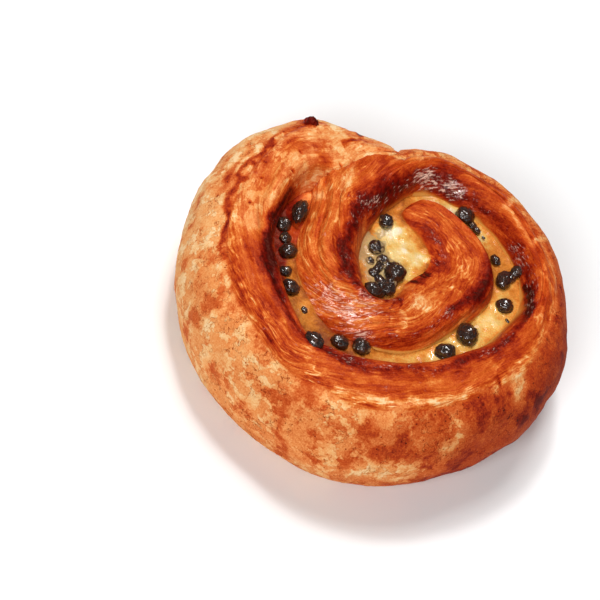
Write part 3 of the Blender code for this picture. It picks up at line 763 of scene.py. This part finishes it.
def strip_lengths(windings, radii, heights):
    """Millimetres along the strip, and across it from its inner rim."""
    middle = radii[:, radii.shape[1] // 2]
    along = np.concatenate(([0.0], np.cumsum(np.radians(np.diff(windings)) * middle[1:])))
    steps = np.hypot(np.diff(radii, axis=1), np.diff(heights, axis=1))
    across = np.concatenate((np.zeros((len(radii), 1)), np.cumsum(steps, axis=1)), axis=1)
    rim_column = np.searchsorted(strip_places(), INNER_RIM)
    return np.broadcast_to(along[:, None], radii.shape), across - across[:, [rim_column]]


def burn_marks_and_crease_shade(winding, place):
    """How much more done the crust is in its burnt bands, marks and streaks, and how much darker it is with
    painted shade in the crease.
    """
    bands = (RIM_BURN, LOBE_BURN, FLANK_BURN, CREASE_PAINTED_SHADE)
    more = sum(band(knots, winding, place) for knots in bands)
    for at, middle, half_length, half_width, change in MARKS:
        reach = ((winding - at) / half_length) ** 2 + ((place - middle) / half_width) ** 2
        more += change * np.exp(-reach ** 1.5)
    for line, half, change in STREAKS:
        more += change * bell(line_distance(line, winding, place), half)
    return more


def cream_on_dough(winding, place, heights, along, across):
    """How much cream has climbed onto the dough, from 0 to 1."""
    inner_side = place < (INNER_RIM + OUTER_RIM) / 2
    climb = np.where(inner_side, through(CLIMB_INNER, winding), through(CLIMB_OUTER, winding))
    climb = climb * (1 + swaying(along, across, *CLIMB_SWAY))
    share = 1 - ease(heights, CREAM_LEVEL, CREAM_LEVEL + CLIMB_FADE * climb)
    share = np.where(inner_side | (winding < GROOVE_END), share, 0.0)
    by_groove = ~inner_side | (winding > SECOND_TURN)
    baked = 1 - GROOVE_SMEAR_LOSS * through(GROOVE_CRUST, winding % 360)
    return share * np.where(by_groove, baked, POOL_SMEAR)


def make_dough(material):
    windings = even_windings()
    radii, heights = refine(*strip_sections(windings))
    heights = soften_seam(windings, radii, heights)
    points = uneven(polar(windings[:, None], radii, heights))
    rows, columns = radii.shape
    place = np.broadcast_to(strip_places(), (rows, columns))
    winding = np.broadcast_to(windings[:, None], (rows, columns))
    along, across = strip_lengths(windings, radii, heights)
    drift = through(LAYER_DRIFT, windings)[:, None]
    layers = across - drift + swaying(along, across, *LAYER_SWAY)

    free_side = ease(winding, GROOVE_END, SECOND_TURN)
    face_end = through(CUT_FACE_END, winding) + swaying(along, 0 * along, *EDGE_SWAY)
    skin = ease(place, face_end - SKIN_BLEND, face_end + SKIN_BLEND) * free_side
    face = ease(place, CUT_FACE_START, CUT_FACE_START + CUT_FACE_BLEND) * (1 - skin)
    near_base = skin * bell(heights, BASE_RIM)
    spots = np.stack((along, across), -1)
    here = winding + swellings(spots, *DEGREE_SWAY)
    there = place + swellings(spots, *PLACE_SWAY)
    done = mix(through(FACE_DONENESS, winding), through(WALL_DONENESS, winding), skin)
    done += burn_marks_and_crease_shade(here, there) - BASE_PALENESS * near_base
    gloss = THIN_GLOSS + sum(band(knots, here, there) for knots in GLOSS)
    layered = FAINT_LAYERS + sum(band(knots, here, there) for knots in LAYERED)

    ridges = sum(swaying(along, layers, *each) for each in LAYER_RIDGES)
    relief = face * (FAINT_RIDGES + layered) * ridges
    relief += ease(done, BURNT_FROM, BURNT_TO) * swellings(points, *BURNT_BUMPS)
    relief += skin * (swellings(points, *SKIN_BUMPS) - SKIN_SINK)
    relief += near_base * swellings(points, *BASE_CRUMBS)
    for inside, half, share in (CREASE, LIP):
        depth = through(CREASE_DEPTH, winding) * free_side
        relief += share * depth * bell(place - face_end + inside, half)
    relief += swellings(points, *FINE_BUMPS)
    for at, middle in PITS:
        pit = bell(np.hypot((winding - at) / DEGREES_PER_PLACE, place - middle), PIT_SIZE)
        relief -= PIT_DEPTH * pit
        # Painted shade: each pit is darkened in the crust's colour.
        done += PIT_PAINTED_SHADE * pit
    relief *= ease(heights, FADE_BOTTOM, FADE_TOP)
    points = points + relief[..., None] * grid_normals(points)

    def with_ends(values):
        """The values of all points, and of one more in the middle of each end."""
        flat = values.reshape(rows * columns, *values.shape[2:])
        return np.concatenate((flat, values[[0, -1]].mean(axis=1)))

    mesh = bpy.data.meshes.new("brioche")
    all_points = (with_ends(points) + AXIS) * MM
    mesh.from_pydata(all_points.tolist(), [], strip_faces(rows, columns))
    custard = cream_on_dough(winding, place, heights, along, across)
    strip = np.stack((along, layers, 0 * along), -1)
    measures = {
        "done": done, "skin": skin, "custard": custard, "gloss": gloss, "layered": layered,
        "strip": strip,
    }
    add_measures(mesh, **{name: with_ends(values) for name, values in measures.items()})
    piece = place_piece("brioche", mesh, material)
    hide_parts("dough")


def make_knob(material):
    """A burnt, ridged tip of dough on the outer end."""
    mesh, ball = new_ball("burnt_knob", KNOB_SUBDIVISIONS, 1.0)
    ridges = abs(smooth_noise(ball * KNOB_RIDGES, 91)) + swellings(ball, *KNOB_BUMPS)
    reach = (KNOB_REACH - KNOB_RIDGE_DEPTH * ridges)[:, None]
    move_points(mesh, polar(*np.array(KNOB_AT)) + ball * reach * KNOB_SIZE)
    done = mix(*KNOB_DONENESS, ease(ball[:, 2] + 0.2)) - 0.2 * (ridges - 0.3)
    none = np.zeros(len(ball))
    gloss = none + KNOB_GLOSS
    add_measures(mesh, done=done, skin=none, custard=none, gloss=gloss, layered=none)
    place_piece("burnt_knob", mesh, material)


def cream_height(x, y):
    at = Vector((x, y, CREAM_LEVEL))
    return CREAM_LEVEL + CREAM_UNEVENNESS * noise.noise(at / CREAM_SWELLING_SIZE)


def make_cream(material, dough_node):
    """The cream, made as one round block whose rim lies inside the outer turn, and then cut by
    the dough."""
    angles = np.arange(CREAM_SIDES) * 360 / CREAM_SIDES
    before_turn = angles < CREAM_TURN
    line = through(GROOVE_LINE, np.where(before_turn, angles, angles - 360))
    closing = ease(angles, GROOVE_END, GROOVE_END + CREAM_CLOSING) * before_turn
    reach = line + CREAM_OVERREACH * (1 - closing)
    shares = (np.arange(CREAM_RINGS) + 1) / CREAM_RINGS
    radius = np.concatenate((reach[:, None] * shares, reach[:, None]), axis=1)
    points = polar(angles[:, None], radius, 0.0)
    top = np.array([cream_height(x, y) for x, y, _ in points[:, :-1].reshape(-1, 3)])
    points[:, :-1, 2] = top.reshape(CREAM_SIDES, CREAM_RINGS)
    points[:, -1, 2] = CREAM_BOTTOM

    bm = bmesh.new()
    made = [[bm.verts.new((Vector(p) + Vector(AXIS)) * MM) for p in ring] for ring in points]
    top = bm.verts.new((Vector((0, 0, cream_height(0, 0))) + Vector(AXIS)) * MM)
    bottom = bm.verts.new((Vector((0, 0, CREAM_BOTTOM)) + Vector(AXIS)) * MM)
    for a, b in zip(made, made[1:] + made[:1]):
        bm.faces.new((top, b[0], a[0]))
        bm.faces.new((bottom, a[-1], b[-1]))
        for j in range(CREAM_RINGS):
            bm.faces.new((a[j], b[j], b[j + 1], a[j + 1]))
    bmesh.ops.recalc_face_normals(bm, faces=bm.faces)
    block = bpy.data.meshes.new("cream_block")
    bm.to_mesh(block)
    bm.free()
    mesh = cut(block, dough_node)
    dress_cream(mesh, dough_node)
    piece = place_piece("pastry_cream", mesh, material)
    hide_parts("cream")


def cut(block, dough_node):
    """The block without what the dough fills, save the thin layer by which it reaches into it."""
    bm = bmesh.new()
    bm.from_mesh(dough_node.data)
    bmesh.ops.remove_doubles(bm, verts=bm.verts, dist=1e-6)
    bmesh.ops.recalc_face_normals(bm, faces=bm.faces)
    cutter_mesh = bpy.data.meshes.new("cutter")
    bm.to_mesh(cutter_mesh)
    bm.free()
    cutter = bpy.data.objects.new("cutter", cutter_mesh)
    target = bpy.data.objects.new("block", block)
    for each in (cutter, target):
        bpy.context.scene.collection.objects.link(each)
    shrink = cutter.modifiers.new("shrink", "DISPLACE")
    shrink.mid_level = 0
    shrink.strength = -CREAM_REACH * MM
    difference = target.modifiers.new("difference", "BOOLEAN")
    difference.operation = "DIFFERENCE"
    difference.solver = "MANIFOLD"
    difference.object = cutter
    scene_state = bpy.context.evaluated_depsgraph_get()
    mesh = bpy.data.meshes.new_from_object(target.evaluated_get(scene_state))
    for each in (cutter, target):
        bpy.data.objects.remove(each)
    return mesh


def dress_cream(mesh, dough_node):
    """Lets the cream climb against the dough and the chips, and notes how brown it is."""
    bm = bmesh.new()
    bm.from_mesh(dough_node.data)
    tree = BVHTree.FromBMesh(bm)
    bm.free()
    flat = np.empty(len(mesh.vertices) * 3, np.float32)
    mesh.vertices.foreach_get("co", flat)
    points = flat.reshape(-1, 3).astype(float)
    to_dough = np.array([tree.find_nearest(Vector(p))[3] for p in points]) / MM
    local = points / MM - AXIS
    on_top = local[:, 2] > CREAM_LEVEL - TOP_DEPTH
    radius = np.hypot(local[:, 0], local[:, 1])
    angle = np.degrees(np.arctan2(local[:, 0], local[:, 1])) % 360
    first_turn = np.where(angle > 360 + INNER_END, angle - 360, angle)
    chip_middles = np.array([polar(a, r, 0.0) for a, r, *_ in CHIPS])[:, :2]
    chip_sizes = np.array([(length + width) / 4 for _, _, length, width, *_ in CHIPS])
    apart = np.linalg.norm(local[:, None, :2] - chip_middles, axis=-1) - chip_sizes
    to_chip = apart.min(axis=1)
    marks = spotted(local, CREAM_MARKS)
    rise = DOUGH_RISE[0] * np.exp(-to_dough / DOUGH_RISE[1])
    rise += CHIP_RISE[0] * bell(to_chip - CHIP_RISE_AT, CHIP_RISE[1])
    rise += swellings(local, *CREAM_BUMPS) + np.maximum(-marks, 0.0)
    local[:, 2] += np.where(on_top, rise, 0.0)
    move_points(mesh, local)

    in_groove = ease(radius - through(POOL_EDGE, first_turn), *POOL_MARGIN)
    edge = mix(*EDGE_BROWNING, in_groove) * np.exp(-to_dough / mix(*EDGE_REACH, in_groove))
    edge *= 1 + swellings(local, *EDGE_PATCHES)
    # The groove's browning also brings painted shade towards its narrow end.
    brown = CREAM_PALENESS + through(GROOVE_BROWNING_AND_SHADE, angle) * in_groove + edge + marks
    outer_side = ease(radius - through(GROOVE_LINE, first_turn), *OUTER_SIDE)
    crust = through(GROOVE_CRUST, angle) + outer_side * through(OUTER_CRUST, angle)
    done = mix(INNER_CRUST_DONENESS, OUTER_CRUST_DONENESS, outer_side)
    film = spotted(local, CREAM_FILMS) * (1 + swellings(local, *FILM_PATCHES))
    # Painted shade: close round the chips in the pool, the cream is greyed towards the film colour.
    film += PAINTED_SHADE_ROUND_CHIPS[0] * (1 - in_groove) * np.exp(-np.maximum(to_chip, 0) / PAINTED_SHADE_ROUND_CHIPS[1])
    add_measures(
        mesh,
        crust=np.minimum(crust, 1.0) * in_groove,
        done=done + spotted(local, CRUST_MARKS),
        brown=brown + swellings(local, *CREAM_PATCHES),
        film=film,
    )


def spotted(points, spots):
    """What round spots add at each point, fading out with a wandering edge."""
    sway = swellings(points, *SPOT_SWAY)
    added = np.zeros(len(points))
    for x, y, half, strength in spots:
        apart = np.hypot(points[:, 0] - x, points[:, 1] - y) + sway
        added += strength * bell(np.maximum(apart, 0), half)
    return added


def chocolate_drop(name, chip, draw, height, film, material):
    """A squat, wrinkled drop of chocolate, half sunk in the cream."""
    angle, radius, length, width, turned, lift = chip
    mesh, ball = new_ball(name, CHIP_SUBDIVISIONS, 0.5)
    own_place = Vector(draw.uniform(-40, 40) for _ in range(3))
    dent = np.array([noise.noise(Vector(p) * CHIP_DENT_FINENESS + own_place) for p in ball])
    at = ball + np.array(own_place)
    creases = sum(
        share * bell(smooth_noise(at * fineness, seed), half)
        for share, fineness, half, seed in CHIP_CREASES
    )
    reach = 1 + CHIP_DENTS * dent + swellings(at, *CHIP_WRINKLES) - CHIP_CREASE_DEPTH * creases
    x, y, z = (ball * reach[:, None]).T * np.array((length, width, width * height))[:, None]
    heading = math.radians(turned - angle)
    around = np.stack((
        x * math.cos(heading) - y * math.sin(heading),
        x * math.sin(heading) + y * math.cos(heading),
        z,
    ), axis=-1)
    move_points(mesh, polar(angle, radius, CREAM_LEVEL + lift) + around)
    covered = film * (0.8 - 0.4 * ease(z / width) + swellings(at, *CHIP_FILM_RAGS))
    add_measures(mesh, film=np.maximum(covered, 0.0), creases=creases)
    return place_piece(name, mesh, material)


def make_chips(material):
    draw = random.Random(CHIP_SEED)
    for number, chip in enumerate(CHIPS, start=1):
        name = f"chocolate_chip_{number:02d}"
        film = FILMED_CHIPS.get(number, CHIP_BARE_FILM)
        piece = chocolate_drop(name, chip, draw, CHIP_HEIGHT, film, material)
        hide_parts(f"chip_{number:02d}")
    for number, drop in enumerate(MELTED, start=1):
        name = f"melted_chocolate_{number}"
        chocolate_drop(name, drop, draw, MELTED_HEIGHT, MELTED_FILM, material)


def linear(screen):
    """A colour as light, with its alpha, from its 8-bit screen values."""
    shares = [value / 255 for value in screen]
    return (*(s / 12.92 if s <= 0.04045 else ((s + 0.055) / 1.055) ** 2.4 for s in shares), 1.0)


class Field:
    """A number, vector or colour that varies over a surface: what a shader node gives."""

    def __init__(self, socket):
        self.socket = socket

    def then(self, kind, inputs, output=0, **settings):
        """What a new node of the same material gives."""
        return node_output(self.socket.id_data, kind, inputs, output, **settings)

    def work(self, operation, *values):
        return self.then("ShaderNodeMath", dict(enumerate(values)), operation=operation)

    def __add__(self, other):
        return self.work("ADD", self, other)

    def __sub__(self, other):
        return self.work("SUBTRACT", self, other)

    def __rsub__(self, other):
        return self.work("SUBTRACT", other, self)

    def __mul__(self, other):
        return self.work("MULTIPLY", self, other)

    def __abs__(self):
        return self.work("ABSOLUTE", self)


def feed(socket, value):
    """Links a field to the input, or sets the input to a plain value."""
    if isinstance(value, Field):
        socket.id_data.links.new(value.socket, socket)
    else:
        socket.default_value = value


def node_output(tree, kind, inputs, output=0, **settings):
    """What a new shader node gives, with its inputs fed by name or number."""
    made = tree.nodes.new(kind)
    for setting, value in settings.items():
        setattr(made, setting, value)
    for name, value in inputs.items():
        feed(made.inputs[name], value)
    return Field(made.outputs[output])


def new_material(name):
    material = bpy.data.materials.new(name)
    material.use_nodes = True
    return material


def feed_shader(material, inputs):
    shader = material.node_tree.nodes["Principled BSDF"]
    for name, value in inputs.items():
        feed(shader.inputs[name], value)


def measure(tree, name, output="Fac"):
    return node_output(tree, "ShaderNodeAttribute", {}, output, attribute_name=name)


def body_place(tree):
    """The point's place in millimetres."""
    return scaled(node_output(tree, "ShaderNodeTexCoord", {}, "Object"), (1000, 1000, 1000))


def scaled(vector, factors):
    return vector.then("ShaderNodeVectorMath", {0: vector, 1: factors}, operation="MULTIPLY")


def mottle(place, size, detail=2.0, roughness=0.5):
    """Noise from about -0.5 to 0.5, with swellings of the given size."""
    inputs = {"Vector": place, "Scale": 1 / size, "Detail": detail, "Roughness": roughness}
    return place.then("ShaderNodeTexNoise", inputs, "Fac") - 0.5


def streaked(strip, length, width, detail=2.0, roughness=0.5):
    """The same, with swellings of this length along the strip and this width across it."""
    return mottle(scaled(strip, (1 / length, 1 / width, 0)), 1.0, detail, roughness)


def warped(place, size, reach):
    """The place, pushed about so that what follows has wandering edges."""
    inputs = {"Vector": place, "Scale": 1 / size, "Detail": 2.0}
    push = scaled(place.then("ShaderNodeTexNoise", inputs, "Color"), reach)
    return place.then("ShaderNodeVectorMath", {0: place, 1: push})


def between(value, low, high, start=0.0, end=1.0):
    """Eases from start to end as the value goes from low to high."""
    inputs = dict(enumerate((value, low, high, start, end)))
    return value.then("ShaderNodeMapRange", inputs, interpolation_type="SMOOTHSTEP")


def lines(noise_value, width):
    """Wandering lines where the noise crosses zero."""
    return between(abs(noise_value), 0.0, width, 1.0, 0.0)


def specked(place, size, low, high):
    """Small spots, one in each cell of this size: 1 up to low from its middle, 0 from high on."""
    inputs = {"Vector": scaled(place, (1 / size,) * 3), "Scale": 1.0}
    return between(place.then("ShaderNodeTexVoronoi", inputs, "Distance"), low, high, 1.0, 0.0)


def colours(value, stops):
    made = value.then("ShaderNodeValToRGB", {0: value}, "Color")
    ramp = made.socket.node.color_ramp
    while len(ramp.elements) < len(stops):
        ramp.elements.new(0.5)
    for element, (at, screen) in zip(ramp.elements, stops):
        element.position = at
        element.color = linear(screen)
    return made


def blend_colours(share, a, b):
    made = share.then("ShaderNodeMix", {"Factor": share}, data_type="RGBA").socket.node
    for socket, colour in zip((each for each in made.inputs if each.type == "RGBA"), (a, b)):
        feed(socket, colour)
    return Field(next(each for each in made.outputs if each.type == "RGBA"))


def bump(height, distance):
    inputs = {"Strength": 1.0, "Distance": distance * MM, "Height": height}
    return height.then("ShaderNodeBump", inputs, "Normal")


def dough_material():
    material = new_material("baked_dough")
    tree = material.node_tree
    done, skin, custard, gloss, layered = (
        measure(tree, name) for name in ("done", "skin", "custard", "gloss", "layered")
    )
    strip = measure(tree, "strip", "Vector")
    place = body_place(tree)
    face = 1.0 - skin
    # Burnt crust is darker all over, so it shows less of the pattern.
    calm = between(done, 0.65, 0.95, 1.0, 0.35)

    # The cut face: sheets of crust with golden edges, over the lines of the layers.
    wandering = warped(strip, 6.0, (5.0, 1.5, 0))
    sheets = streaked(wandering, 13, 3.2)
    sheet = between(sheets, -0.07, 0.07, -0.5, 0.5)
    edges = lines(streaked(wandering, 24, 2.2), 0.04) + lines(sheets, 0.03)
    gold = edges * between(mottle(place, 4.0), -0.10, 0.14)
    layers = streaked(wandering, 11, 1.0, 4.0, 0.65)
    fibres = streaked(wandering, 2.2, 0.45)
    face_change = (
        sheet * 0.12
        + gold * (layered * -0.22 - 0.06)
        + layers * (layered * 0.70 + 0.10)
        + fibres * (layered * 0.50 + 0.14)
    )

    # The wall: ragged pale flakes, brown patches, and fine cracks and small pores, which are dented by the
    # bump and darkened with painted shade.
    ragged = warped(place, 1.3, (1.6, 1.6, 1.6))
    pale = between(mottle(ragged, 3.6, 4.0, 0.6), 0.01, 0.05)
    pale = pale * between(mottle(place, 10.0, 1.0), -0.15, 0.05, 0.3, 1.0)
    pale = pale * between(done, 0.36, 0.60, 1.0, 0.3)
    brown = between(mottle(warped(place, 2.5, (2, 2, 2)), 7.5, 5.0, 0.62), -0.02, 0.12)
    pores = specked(place, 1 / 0.45, 0.06, 0.11)
    cracks = lines(mottle(ragged, 2.6), 0.012) * between(mottle(place, 5.0), 0.00, 0.10)
    patched = pale * -0.20 + brown * 0.22
    # Painted shade: the pores and cracks are darkened in the wall's colour.
    skin_change = patched + pores * 0.30 + cracks * 0.26 + mottle(place, 0.5) * 0.30

    stains = mottle(place, 6.0, 3.0, 0.6)
    specks = mottle(place, 0.42, 2.0, 0.6)
    change = (
        face * face_change
        + face * patched * between(done, 0.36, 0.58, 0.9, 0.25)
        + skin * skin_change
        + stains * 0.34
        + specks * 0.34
    )
    burnt = between(done, 0.6, 0.8)
    blotches = mottle(place, 1.5, 2.0, 0.6)
    doneness = done + change * calm + burnt * blotches * 0.42
    crust = colours(doneness, DONENESS_COLOURS)
    # Dry crust is dulled by flour, where it isn't washed with egg.
    floury = skin.work("MAXIMUM", skin, between(done, 0.34, 0.50, 1.0, 0.0))
    floury = floury * between(doneness, 0.25, 0.60, 0.10, 0.015)
    crust = blend_colours(floury, crust, linear(FLOUR_COLOUR))
    # Painted highlights: where the egg wash lies thick, pale ragged streaks of glint are painted into the
    # crust's colour.
    painted_glint_pattern = streaked(wandering, 1.8, 0.6, 3.0, 0.7) + gloss * 0.23 + stains * 0.8
    painted_glints = between(painted_glint_pattern, 0.17, 0.36, 0.0, 0.80) * face * between(gloss, 0.1, 0.7, 0.25, 1.0)
    crust = blend_colours(painted_glints, crust, linear(PAINTED_GLINT_COLOUR))
    climbed = custard + stains * 0.4 + specks * 0.3
    smear = colours(between(climbed, 0.0, 1.1, 0.72, 0.36), CREAM_COLOURS)

    dashes = streaked(wandering, 0.9, 2.6)
    washed = between(stains, -0.25, 0.1, 0.3, 1.0) * between(dashes, -0.14, 0.06, 0.3, 1.0)
    streaks = layers * 0.8 + fibres * 0.4
    height = (
        streaks * face * (layered + 0.1)
        + (mottle(place, 0.9, 1.0) + dashes) * (burnt * 0.5 + 0.25)
        + sheet * face * -0.2
        + skin * pale * 0.25
        + (pores + cracks) * skin * -0.6
    )
    feed_shader(material, {
        "Base Color": blend_colours(between(climbed, 0.12, 0.8), crust, smear),
        "Roughness": skin * 0.25 + specks * 0.2 + 0.45,
        "Specular IOR Level": between(skin, 0.0, 1.0, 0.12, 0.05),
        "Specular Tint": CRUST_SHEEN,
        "Coat Weight": between(gloss * washed, 0.2, 1.0, 0.0, 0.7) * face,
        "Coat Roughness": GLAZE_ROUGHNESS,
        "Coat IOR": GLAZE_IOR,
        "Normal": bump(height, 0.35),
        "Coat Normal": bump(height * 0.7 + mottle(place, 0.5, 1.0) * 0.3, 0.22),
    })
    return material


def cream_material():
    material = new_material("pastry_cream")
    tree = material.node_tree
    brown, film, crust, done = (
        measure(tree, name) for name in ("brown", "film", "crust", "done")
    )
    place = body_place(tree)
    patches = mottle(place, 2.4, 3.0, 0.6)
    grain = mottle(place, 0.5)
    fresh = colours(brown + patches * 0.46 + grain * 0.30, CREAM_COLOURS)
    baked = colours(done + patches * 0.5 + grain * 0.2, DONENESS_COLOURS)
    base = blend_colours(between(crust + patches, 0.25, 0.75), fresh, baked)
    streaks = mottle(warped(place, 2.0, (2, 2, 0)), 1.2, 3.0, 0.6)
    # The film's grey shows both the thin film and the painted shade round the chips.
    filmed = between(film + streaks * 1.6, 0.40, 0.75, 0.0, 0.75) * between(film, 0.05, 0.35)
    feed_shader(material, {
        "Base Color": blend_colours(filmed, base, linear(CREAM_FILM_AND_SHADE_COLOUR)),
        "Roughness": 0.4,
        "Specular IOR Level": 0.2,
        "Specular Tint": CRUST_SHEEN,
        "Coat Weight": between(brown, 0.42, 0.66, 0.3, 0.0),
        "Coat Roughness": GLAZE_ROUGHNESS,
        "Subsurface Weight": 0.25,
        "Subsurface Radius": (1.0, 0.55, 0.25),
        "Subsurface Scale": 1.5 * MM,
        "Normal": bump(patches + grain * 0.5, 0.25),
    })
    return material


def chocolate_material():
    material = new_material("chocolate")
    tree = material.node_tree
    film, creases = measure(tree, "film"), measure(tree, "creases")
    place = body_place(tree)
    bloom = mottle(place, 1.6, 3.0, 0.6)
    grain = mottle(place, 0.45)
    # Painted shade: the creases are darkened in the chips' colour, on top of the bloom and grain.
    tone_and_crease_shade = bloom * 1.4 + grain * 0.6 + creases * -0.3
    base = colours(between(tone_and_crease_shade, -0.5, 0.5), CHOCOLATE_COLOURS)
    filmed = between(film + bloom * 1.8, 0.40, 0.70, 0.0, 0.85) * between(film, 0.0, 0.3, 0.2, 1.0)
    wrinkles = lines(mottle(place, 1.3), 0.08)
    height = bloom * 0.6 + grain * 0.5 + wrinkles * -0.3
    feed_shader(material, {
        "Base Color": blend_colours(filmed, base, linear(CREAM_FILM_AND_SHADE_COLOUR)),
        "Roughness": 0.5,
        "Specular IOR Level": 0.15,
        "Coat Weight": 1.0,
        "Coat Roughness": 0.03,
        "Coat IOR": CHOCOLATE_IOR,
        "Normal": bump(height, 0.4),
        "Coat Normal": bump(height, 0.07),
    })
    return material


def make_camera():
    tilt, roll = math.radians(VIEW_HEIGHT), math.radians(VIEW_ROLL)
    back = Vector((0, -math.cos(tilt), math.sin(tilt)))
    level_up = Vector((0, math.sin(tilt), math.cos(tilt)))
    level_right = Vector((1, 0, 0))
    right = level_right * math.cos(roll) + level_up * math.sin(roll)
    up = level_up * math.cos(roll) - level_right * math.sin(roll)
    aim = Vector(BODY_MIDDLE)
    aim -= right * (SEEN_AT[0] - IMAGE_SIZE / 2) / PIXELS_PER_MM
    aim += up * (SEEN_AT[1] - IMAGE_SIZE / 2) / PIXELS_PER_MM
    data = bpy.data.cameras.new("camera")
    data.sensor_width = SENSOR_WIDTH
    data.lens = SENSOR_WIDTH * PIXELS_PER_MM * VIEW_DISTANCE / IMAGE_SIZE
    data.clip_start, data.clip_end = CLIP_NEAR, CLIP_FAR
    camera = bpy.data.objects.new("camera", data)
    place = Matrix((right, up, back)).transposed().to_4x4()
    place.translation = (aim + back * VIEW_DISTANCE) * MM
    camera.matrix_world = place
    bpy.context.scene.collection.objects.link(camera)
    bpy.context.scene.camera = camera


def make_floor():
    bpy.ops.mesh.primitive_plane_add(size=FLOOR_SIZE)
    floor = bpy.context.object
    floor.name = "floor"
    material = new_material("floor")
    feed_shader(material, {"Base Color": (*FLOOR_COLOUR, 1), "Roughness": FLOOR_ROUGHNESS})
    floor.data.materials.append(material)


def make_lights():
    for name, (towards, distance, size, power) in LIGHTS.items():
        data = bpy.data.lights.new(name, "AREA")
        data.shape = "DISK"
        data.size = size
        data.energy = power
        lamp = bpy.data.objects.new(name, data)
        lamp.location = Vector(towards).normalized() * distance
        lamp.rotation_euler = Vector(towards).to_track_quat("Z", "Y").to_euler()
        bpy.context.scene.collection.objects.link(lamp)
    world = bpy.data.worlds.new("studio")
    world.use_nodes = True
    sky = world.node_tree.nodes["Background"]
    sky.inputs["Color"].default_value = (*WORLD_COLOUR, 1)
    sky.inputs["Strength"].default_value = WORLD_STRENGTH
    bpy.context.scene.world = world
    bpy.context.scene.view_settings.view_transform = "Standard"


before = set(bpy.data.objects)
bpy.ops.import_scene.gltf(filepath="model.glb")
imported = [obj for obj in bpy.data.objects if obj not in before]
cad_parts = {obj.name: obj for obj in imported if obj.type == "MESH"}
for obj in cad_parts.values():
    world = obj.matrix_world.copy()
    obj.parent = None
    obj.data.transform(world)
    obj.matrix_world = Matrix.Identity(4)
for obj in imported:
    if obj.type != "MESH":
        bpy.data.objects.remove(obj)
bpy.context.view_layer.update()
make_camera()
make_floor()
make_lights()
crust = dough_material()
make_dough(crust)
make_knob(crust)
make_cream(cream_material(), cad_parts["dough"])
make_chips(chocolate_material())
